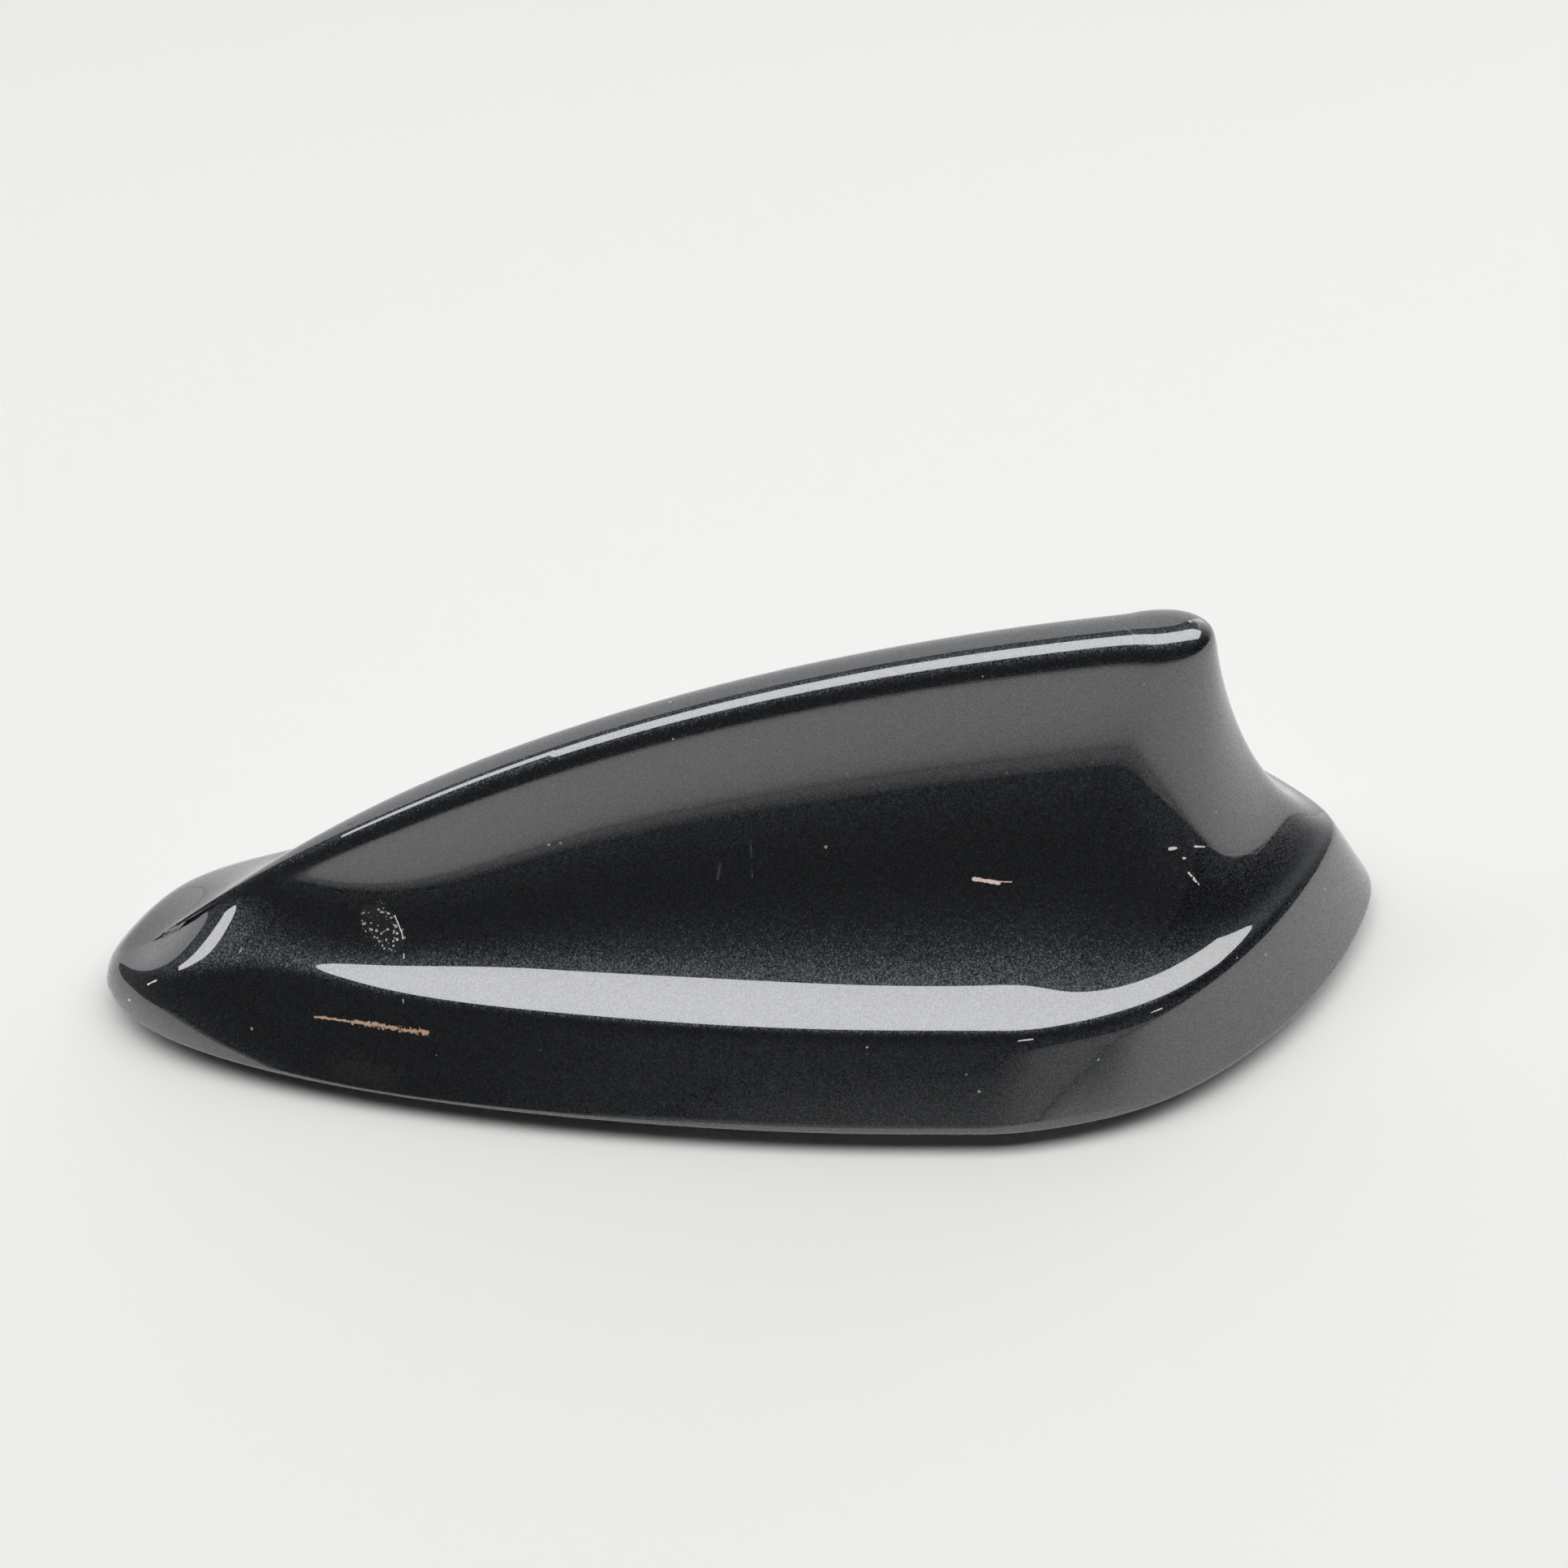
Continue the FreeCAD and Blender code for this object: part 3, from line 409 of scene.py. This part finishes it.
def place_group(tree, group, **inputs):
    node = tree.nodes.new("ShaderNodeGroup")
    node.node_tree = group
    for name, value in inputs.items():
        key = name.replace("_", " ")
        if hasattr(value, "is_linked"):
            tree.links.new(value, node.inputs[key])
        else:
            node.inputs[key].default_value = value
    return node


def new_material(name):
    material = bpy.data.materials.new(name)
    material.use_nodes = True
    tree = material.node_tree
    shader = tree.nodes["Principled BSDF"]
    position = tree.nodes.new("ShaderNodeTexCoord").outputs["Object"]
    return material, tree, shader, position


print("node helpers ready")

# %% [markdown]
# A mark is a short stroke on the surface: a scratch, a chip or a smear. On real paint its edge is
# ragged, so the distance to the stroke's line is shaken by noise before it becomes a mask.

# %% Stroke group
stroke, stroke_in, stroke_out = new_group(
    "worn stroke",
    [("Position", "NodeSocketVector", None), ("Start", "NodeSocketVector", None),
     ("End", "NodeSocketVector", None), ("Width", "NodeSocketFloat", 0.0003),
     ("Raggedness", "NodeSocketFloat", 0.5), ("Grain", "NodeSocketFloat", 2500.0)],
    [("Mask", "NodeSocketFloat")])
get = stroke_in.outputs
line = vector_node(stroke, "SUBTRACT", get["End"], get["Start"]).outputs[0]
offset = vector_node(stroke, "SUBTRACT", get["Position"], get["Start"]).outputs[0]
along_line = math_node(stroke, "DIVIDE", vector_node(stroke, "DOT_PRODUCT", offset, line).outputs[1],
                       vector_node(stroke, "DOT_PRODUCT", line, line).outputs[1], clamp=True)
foot = vector_node(stroke, "SCALE", line)
stroke.links.new(along_line, foot.inputs["Scale"])
gap = vector_node(stroke, "SUBTRACT", offset, foot.outputs[0]).outputs[0]
distance = vector_node(stroke, "LENGTH", gap).outputs[1]
ragged = add_node(stroke, "ShaderNodeTexNoise", Vector=get["Position"], Scale=get["Grain"], Detail=3.0)
shaken = math_node(stroke, "MULTIPLY", math_node(stroke, "SUBTRACT", ragged.outputs[0], 0.5),
                   math_node(stroke, "MULTIPLY", get["Raggedness"], 4.0))
relative = math_node(stroke, "ADD", math_node(stroke, "DIVIDE", distance, get["Width"]), shaken)
inside = stroke.nodes.new("ShaderNodeMapRange")
inside.interpolation_type = "SMOOTHSTEP"
stroke.links.new(relative, inside.inputs["Value"])
for key, value in (("From Min", 0.7), ("From Max", 1.1), ("To Min", 1.0), ("To Max", 0.0)):
    inside.inputs[key].default_value = value
stroke.links.new(inside.outputs[0], stroke_out.inputs["Mask"])
print("group:", stroke.name)

# %% [markdown]
# Dust is a scatter of tiny pale specks. A cell pattern gives each cell one random value, and only the
# few cells above a limit show a speck at their middle.

# %% Dust group
dust, dust_in, dust_out = new_group(
    "dust specks",
    [("Position", "NodeSocketVector", None), ("Scale", "NodeSocketFloat", 900.0),
     ("Share", "NodeSocketFloat", 0.02), ("Size", "NodeSocketFloat", 0.25)],
    [("Mask", "NodeSocketFloat")])
get = dust_in.outputs
cells = add_node(dust, "ShaderNodeTexVoronoi", Vector=get["Position"], Scale=get["Scale"])
separate = dust.nodes.new("ShaderNodeSeparateColor")
dust.links.new(cells.outputs["Color"], separate.inputs[0])
chosen = math_node(dust, "LESS_THAN", separate.outputs[0], get["Share"])
near = math_node(dust, "LESS_THAN", cells.outputs["Distance"],
                 math_node(dust, "MULTIPLY", separate.outputs[1], get["Size"]))
dust.links.new(math_node(dust, "MULTIPLY", chosen, near), dust_out.inputs["Mask"])
print("group:", dust.name)

# %% [markdown]
# ## Car paint
# The finish is a dark graphite base coat with fine metal flakes under a glossy clear coat. The flakes
# tilt the base coat's normal cell by cell, which makes the fine sparkle round a bright reflection,
# while the clear coat above stays smooth and mirrors the lamps sharply.

# %% Paint
paint, tree, shader, position = new_material("graphite flake paint")
flakes = add_node(tree, "ShaderNodeTexVoronoi", Vector=position, Scale=8500.0)
flake_split = tree.nodes.new("ShaderNodeSeparateColor")
tree.links.new(flakes.outputs["Color"], flake_split.inputs[0])
flake_tone = mix_color(tree, flake_split.outputs[0], (0.012, 0.013, 0.0145, 1), (0.070, 0.077, 0.090, 1))
tilt = vector_node(tree, "SUBTRACT", flakes.outputs["Color"], (0.5, 0.5, 0.5))
tilt_scaled = vector_node(tree, "SCALE", tilt.outputs[0])
tilt_scaled.inputs["Scale"].default_value = 0.30
facing = tree.nodes.new("ShaderNodeNewGeometry").outputs["Normal"]
tilted = vector_node(tree, "ADD", facing, tilt_scaled.outputs[0])
flake_normal = vector_node(tree, "NORMALIZE", tilted.outputs[0])
tree.links.new(flake_normal.outputs[0], shader.inputs["Normal"])
shader.inputs["Coat Roughness"].default_value = 0.02
shader.inputs["Coat IOR"].default_value = 2.1
cover.data.materials.append(paint)
print("paint on", cover.name)

# %% [markdown]
# ## Wear on the paint
# The cover has been handled: a frayed tan scratch on the skirt near the nose goes down to the plastic,
# a pinkish chip sits in the hollow, tape has left a speckled patch, and there are small white nicks,
# faint hairlines and dust. Each mark is placed by the two ends of its stroke, in millimetres.

# %% Strokes of the marks: start, end, half width, raggedness
TAN_STROKES = [
    ((-58.6, -16.1, 9.5), (-49.4, -18.9, 9.75), 0.28, 1.2),
    ((-63.2, -14.8, 9.5), (-58.0, -16.2, 9.5), 0.14, 1.0),
]
PINK_STROKES = [
    ((17.2, -14.1, 24.7), (20.1, -14.7, 24.3), 0.26, 0.35),
    ((19.6, -14.5, 24.4), (21.6, -14.7, 24.3), 0.08, 0.5),
]
WHITE_STROKES = [
    ((40.8, -12.6, 25.7), (41.6, -12.4, 25.5), 0.20, 0.5),
    ((44.1, -11.8, 24.9), (45.4, -11.4, 24.3), 0.13, 0.3),
    ((43.2, -13.8, 22.5), (43.6, -14.0, 22.1), 0.13, 0.9),
    ((43.8, -14.1, 21.8), (44.2, -14.3, 21.3), 0.15, 0.9),
    ((44.4, -14.4, 21.1), (44.6, -14.5, 20.9), 0.12, 0.9),
    ((42.6, -12.9, 24.2), (42.9, -12.9, 24.1), 0.13, 0.6),
    ((36.7, -27.7, 13.9), (38.1, -27.2, 13.9), 0.09, 0.4),
    ((20.5, -30.4, 14.0), (22.2, -30.4, 14.1), 0.09, 0.4),
    ((-84.6, -7.1, 9.0), (-83.3, -7.3, 9.9), 0.13, 0.7),
    ((-87.8, -6.8, 6.0), (-87.5, -6.9, 6.1), 0.16, 0.7),
    ((-52.5, -7.0, 18.1), (-51.8, -8.5, 16.5), 0.08, 0.7),
    ((-51.8, -8.5, 16.5), (-51.8, -10.8, 14.6), 0.07, 0.9),
    ((-52.0, -14.6, 12.6), (-52.1, -16.0, 12.0), 0.08, 0.9),
]
FAINT_STROKES = [
    ((-12.6, -9.9, 26.1), (-13.0, -10.9, 24.6), 0.14, 0.6),
    ((-8.8, -8.8, 28.6), (-8.9, -11.3, 24.9), 0.10, 0.8),
    ((45.8, -11.3, 24.4), (48.5, -11.0, 22.1), 0.10, 0.5),
    ((48.5, -11.0, 22.1), (53.1, -9.0, 19.8), 0.12, 0.7),
    ((53.1, -9.0, 19.8), (55.4, -6.6, 19.6), 0.10, 0.7),
    ((35.3, -0.3, 50.3), (36.4, -1.7, 50.1), 0.12, 0.6),
    ((-51.8, -10.8, 14.6), (-52.0, -14.6, 12.6), 0.07, 1.0),
]
print("strokes:", len(TAN_STROKES + PINK_STROKES + WHITE_STROKES + FAINT_STROKES))

# %% [markdown]
# The strokes of one kind join into one mask. The tape's patch is a wide stroke filled with specks.

# %% Masks of the marks
def mask_of(strokes):
    found = None
    for start, end, width, raggedness in strokes:
        mark = place_group(tree, stroke, Position=position, Start=Vector(start) * MM, End=Vector(end) * MM,
                           Width=width * MM, Raggedness=raggedness).outputs["Mask"]
        found = mark if found is None else math_node(tree, "MAXIMUM", found, mark)
    return found


tan_mask = mask_of(TAN_STROKES)
pink_mask = mask_of(PINK_STROKES)
white_mask = mask_of(WHITE_STROKES)
faint_mask = math_node(tree, "MULTIPLY", mask_of(FAINT_STROKES), 0.18)
tape_area = mask_of([((-54.9, -7.0, 17.7), (-53.4, -8.3, 16.4), 2.1, 0.35)])
tape_specks = place_group(tree, dust, Position=position, Scale=3600.0, Share=0.30, Size=0.75).outputs["Mask"]
tape_mask = math_node(tree, "MULTIPLY", tape_area, tape_specks)
dust_mask = place_group(tree, dust, Position=position, Scale=700.0, Share=0.06, Size=0.16).outputs["Mask"]
# A faint paler patch low on the near skirt towards the nose; it only lightens the colour and leaves the clear
# coat whole.
pale_skirt_patch = mask_of([((-60.5, -19.6, 5.2), (-54.9, -21.6, 4.9), 1.6, 1.2)])
print("masks ready")

# %% [markdown]
# Where a mark is, the clear coat is gone or covered: the colour turns pale or tan, and the surface
# turns dull.

# %% Marks over the paint
tape_veil = math_node(tree, "MULTIPLY", tape_area, 0.07)
veil = math_node(tree, "MAXIMUM", tape_veil, math_node(tree, "MULTIPLY", pale_skirt_patch, 0.05))
worn = mix_color(tree, veil, flake_tone, (0.60, 0.60, 0.55, 1))
worn = mix_color(tree, faint_mask, worn, (0.55, 0.56, 0.56, 1))
worn = mix_color(tree, math_node(tree, "MULTIPLY", dust_mask, 0.7), worn, (0.60, 0.60, 0.58, 1))
worn = mix_color(tree, math_node(tree, "MULTIPLY", tape_mask, 0.8), worn, (0.72, 0.72, 0.66, 1))
worn = mix_color(tree, white_mask, worn, (0.88, 0.88, 0.86, 1))
worn = mix_color(tree, tan_mask, worn, (0.56, 0.36, 0.25, 1))
worn = mix_color(tree, pink_mask, worn, (0.86, 0.66, 0.60, 1))
tree.links.new(worn, shader.inputs["Base Color"])
marked = tan_mask
for mask in (pink_mask, white_mask, faint_mask, tape_mask, math_node(tree, "MULTIPLY", dust_mask, 0.7)):
    marked = math_node(tree, "MAXIMUM", marked, mask)
kept = math_node(tree, "SUBTRACT", 1.0, marked)
tree.links.new(kept, shader.inputs["Coat Weight"])
tree.links.new(math_node(tree, "MULTIPLY", kept, 0.85), shader.inputs["Metallic"])
dulled = math_node(tree, "ADD", 0.32, math_node(tree, "MULTIPLY", marked, 0.4))
tree.links.new(dulled, shader.inputs["Roughness"])
print("marks laid over", paint.name)

# %% [markdown]
# ## Finishes of the other pieces
# What the cover hides still gets a finish, because the part can be taken apart or seen from below. One
# group gives grain: it varies the tone, the roughness and a fine bump.

# %% Grain group
grain, grain_in, grain_out = new_group(
    "surface grain",
    [("Position", "NodeSocketVector", None), ("Dark", "NodeSocketColor", (0.1, 0.1, 0.1, 1)),
     ("Light", "NodeSocketColor", (0.2, 0.2, 0.2, 1)), ("Scale", "NodeSocketFloat", 600.0),
     ("Smoothest", "NodeSocketFloat", 0.4), ("Roughest", "NodeSocketFloat", 0.6)],
    [("Color", "NodeSocketColor"), ("Roughness", "NodeSocketFloat"), ("Height", "NodeSocketFloat")])
get = grain_in.outputs
fine = add_node(grain, "ShaderNodeTexNoise", Vector=get["Position"], Scale=get["Scale"], Detail=4.0)
broad = add_node(grain, "ShaderNodeTexNoise", Vector=get["Position"],
                 Scale=math_node(grain, "MULTIPLY", get["Scale"], 0.07), Detail=3.0)
tone = math_node(grain, "ADD", math_node(grain, "MULTIPLY", fine.outputs[0], 0.6),
                 math_node(grain, "MULTIPLY", broad.outputs[0], 0.4))
grain.links.new(mix_color(grain, tone, get["Dark"], get["Light"]), grain_out.inputs["Color"])
spread = math_node(grain, "SUBTRACT", get["Roughest"], get["Smoothest"])
rough = math_node(grain, "ADD", get["Smoothest"], math_node(grain, "MULTIPLY", broad.outputs[0], spread))
grain.links.new(rough, grain_out.inputs["Roughness"])
grain.links.new(fine.outputs[0], grain_out.inputs["Height"])
print("group:", grain.name)

# %% [markdown]
# Each row gives a finish: its darkest and lightest tone, the scale of its grain, the range of its
# roughness, how metallic it is and the strength of the bump. Pieces of one stuff share a row.

# %% Finishes by node
def grained(name, dark, light, scale, roughness, metallic, bump):
    material, tree, shader, position = new_material(name)
    surface = place_group(tree, grain, Position=position, Dark=(*dark, 1), Light=(*light, 1), Scale=scale,
                          Smoothest=roughness[0], Roughest=roughness[1])
    tree.links.new(surface.outputs["Color"], shader.inputs["Base Color"])
    tree.links.new(surface.outputs["Roughness"], shader.inputs["Roughness"])
    relief = add_node(tree, "ShaderNodeBump", Strength=bump, Distance=0.0001,
                      Height=surface.outputs["Height"])
    tree.links.new(relief.outputs[0], shader.inputs["Normal"])
    shader.inputs["Metallic"].default_value = metallic
    return material


FINISHES = {
    "base_plate": ("dull cast alloy", (0.36, 0.36, 0.37), (0.56, 0.56, 0.57),
                   900, (0.42, 0.62), 0.9, 0.25),
    "socket_block": ("black moulded plastic", (0.015, 0.015, 0.016), (0.035, 0.035, 0.037),
                     1500, (0.45, 0.6), 0, 0.2),
    "cover_seal": ("black rubber", (0.012, 0.012, 0.012), (0.03, 0.03, 0.03),
                   1200, (0.7, 0.85), 0, 0.15),
    "bolt_bush": ("zinc plated steel", (0.5, 0.49, 0.45), (0.68, 0.67, 0.62),
                  800, (0.28, 0.42), 1, 0.08),
    "main_board": ("green board", (0.008, 0.06, 0.025), (0.02, 0.13, 0.055),
                   500, (0.3, 0.42), 0, 0.06),
    "phone_radiator": ("lacquered copper", (0.62, 0.3, 0.17), (0.82, 0.46, 0.3),
                       700, (0.25, 0.4), 1, 0.05),
    "fin_board_bracket": ("grey moulded plastic", (0.05, 0.05, 0.055), (0.09, 0.09, 0.1),
                          1500, (0.45, 0.6), 0, 0.15),
    "feed_clips": ("tin plated spring", (0.62, 0.62, 0.6), (0.8, 0.8, 0.78),
                   900, (0.25, 0.4), 1, 0.05),
    "patch_tape": ("white foam tape", (0.7, 0.69, 0.64), (0.85, 0.84, 0.8),
                   2500, (0.8, 0.95), 0, 0.5),
    "patch_ceramic": ("fired ceramic", (0.6, 0.54, 0.44), (0.74, 0.69, 0.6),
                      1800, (0.55, 0.7), 0, 0.2),
    "patch_electrode": ("fired silver", (0.68, 0.68, 0.66), (0.84, 0.84, 0.83),
                        2200, (0.4, 0.55), 1, 0.2),
    "position_socket": ("blue moulded plastic", (0.01, 0.05, 0.22), (0.02, 0.09, 0.34),
                        1500, (0.35, 0.5), 0, 0.12),
    "phone_socket": ("violet moulded plastic", (0.2, 0.015, 0.13), (0.32, 0.03, 0.22),
                     1500, (0.35, 0.5), 0, 0.12),
    "socket_shells": ("gold plated brass", (0.68, 0.48, 0.18), (0.86, 0.66, 0.32),
                      900, (0.2, 0.35), 1, 0.04),
    "socket_cores": ("white insulation", (0.7, 0.7, 0.67), (0.85, 0.85, 0.82),
                     1500, (0.4, 0.55), 0, 0.08),
    "vent_membrane": ("woven membrane", (0.72, 0.72, 0.7), (0.9, 0.9, 0.88),
                      3500, (0.8, 0.95), 0, 0.4),
}
SAME_FINISH = {
    "fixing_block": "socket_block", "roof_seal": "cover_seal", "board_screws": "bolt_bush",
    "cover_screws": "bolt_bush", "fin_board": "main_board", "patch_pin": "feed_clips",
    "shield_can": "feed_clips", "socket_pins": "socket_shells",
}
materials = {"fin_cover": paint}
materials.update((name, grained(*finish)) for name, finish in FINISHES.items())
for name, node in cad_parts.items():
    node.data.materials.clear()
    node.data.materials.append(materials[SAME_FINISH.get(name, name)])
print("finished nodes:", len(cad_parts))

# %% [markdown]
# ## Floor, light and camera
# A clear coat shows what stands around it, so the light is mostly a matter of what the paint mirrors.
# The panel under the crest faces the pale floor on the camera's side. Above the floor that side stays
# dark, so the hollow flank is nearly black as it is on the real cover.

# %% Floor
bm = bmesh.new()
bmesh.ops.create_grid(bm, x_segments=1, y_segments=1, size=6.0)
floor = placed_object(bm, "floor")
floor_paint, tree, shader, position = new_material("pale floor")
shader.inputs["Base Color"].default_value = (0.82, 0.82, 0.805, 1)
shader.inputs["Roughness"].default_value = 0.6
floor.data.materials.append(floor_paint)
print("floor at z = 0")

# %% [markdown]
# A long soft box overhead makes the bright bands along the crest and the ridge. A narrower one further
# to the front carries the crest's band on towards the nose. A pale wall behind lights the crest's top
# and the far side of the nose. A lamp's power is given by how bright its face looks.

# %% Lamps and surroundings
def soft_box(name, width, depth, center, target, radiance):
    lamp = bpy.data.lights.new(name, "AREA")
    lamp.shape = "RECTANGLE"
    lamp.size, lamp.size_y = width, depth
    lamp.energy = radiance * math.pi * width * depth
    box = bpy.data.objects.new(name, lamp)
    box.location = center
    box.rotation_euler = (Vector(target) - Vector(center)).to_track_quat("-Z", "Y").to_euler()
    bpy.context.scene.collection.objects.link(box)


soft_box("overhead", 2.02, 0.56, (0.29, 0.01, 1.0), (0.29, 0.01, 0), 3.6)
soft_box("front overhead", 0.88, 0.32, (-1.16, 0.18, 1.0), (-1.16, 0.18, 0), 3.6)
soft_box("back wall", 5.6, 2.9, (-0.9, 1.9, 1.3), (-0.9, 0, 1.3), 0.85)
world = bpy.data.worlds.new("surroundings")
bpy.context.scene.world = world
world.use_nodes = True
background = world.node_tree.nodes["Background"]
background.inputs["Color"].default_value = (1, 1, 1, 1)
background.inputs["Strength"].default_value = 0.035

# %% [markdown]
# Two plain cards stand out of view. One behind the tail grows brighter away from the camera, so the
# tail's skirt shades softly. A low one on the camera's side fades upwards, which softens the lower edge
# of the floor's reflection in the panel under the crest.

# %% Cards
ALONG_Y, ALONG_Z = 1, 2


def card(name, corners, axis, from_place, to_place, from_light, to_light):
    bm = bmesh.new()
    bmesh.ops.contextual_create(bm, geom=[bm.verts.new(corner) for corner in corners])
    plate = placed_object(bm, name)
    material, tree, shader, position = new_material(name)
    axes = tree.nodes.new("ShaderNodeSeparateXYZ")
    tree.links.new(position, axes.inputs[0])
    ramp = tree.nodes.new("ShaderNodeMapRange")
    ramp.interpolation_type = "SMOOTHSTEP"
    tree.links.new(axes.outputs[axis], ramp.inputs["Value"])
    for key, value in (("From Min", from_place), ("From Max", to_place),
                       ("To Min", from_light), ("To Max", to_light)):
        ramp.inputs[key].default_value = value
    shader.inputs["Base Color"].default_value = (0, 0, 0, 1)
    shader.inputs["Roughness"].default_value = 1.0
    shader.inputs["Emission Strength"].default_value = 1.0
    tree.links.new(ramp.outputs[0], shader.inputs["Emission Color"])
    plate.data.materials.append(material)


card("tail card", [(2.2, -1.5, 0.01), (2.2, 3.5, 0.01), (2.2, 3.5, 2.2), (2.2, -1.5, 2.2)],
     ALONG_Y, from_place=-0.2, to_place=2.2, from_light=0.0, to_light=1.3)
card("low card", [(-2.5, -1.2, 0.002), (1.4, -1.2, 0.002), (-0.7, -1.2, 0.16), (-2.5, -1.2, 0.16)],
     ALONG_Z, from_place=0.0, to_place=0.15, from_light=0.3, to_light=0.0)

# %% [markdown]
# The camera was fitted to the outline in the photograph: it stands about 26 cm off, a little towards
# the nose, and looks down at about 47 degrees. The picture's middle lies beside the optical axis, so
# the lens has a small shift.

# %% Camera
IMAGE_SIDE, FOCAL_PIXELS, SHIFT_PIXELS = 1932, 2600, (51.9, 79.07)
SENSOR_WIDTH = 36
DISTANCE = 263.6 * MM
azimuth, elevation, roll = math.radians(-2.51), math.radians(46.8), math.radians(-2.51)
look_at = Vector((-9.5, 0, 18)) * MM
back = Vector((math.sin(azimuth) * math.cos(elevation), -math.cos(azimuth) * math.cos(elevation),
               math.sin(elevation)))
right = Vector((math.cos(azimuth), math.sin(azimuth), 0))
up = back.cross(right)
rolled_right = right * math.cos(roll) + up * math.sin(roll)
rolled_up = up * math.cos(roll) - right * math.sin(roll)
lens = bpy.data.cameras.new("camera")
lens.sensor_width = SENSOR_WIDTH
lens.lens = FOCAL_PIXELS / IMAGE_SIDE * SENSOR_WIDTH
lens.shift_x, lens.shift_y = (pixels / IMAGE_SIDE for pixels in SHIFT_PIXELS)
camera = bpy.data.objects.new("camera", lens)
turned = Matrix((rolled_right, rolled_up, back)).transposed().to_4x4()
camera.matrix_world = Matrix.Translation(look_at + back * DISTANCE) @ turned
bpy.context.scene.collection.objects.link(camera)
bpy.context.scene.camera = camera
bpy.context.scene.view_settings.view_transform = "Standard"
print("camera at", [round(value, 3) for value in camera.matrix_world.translation])
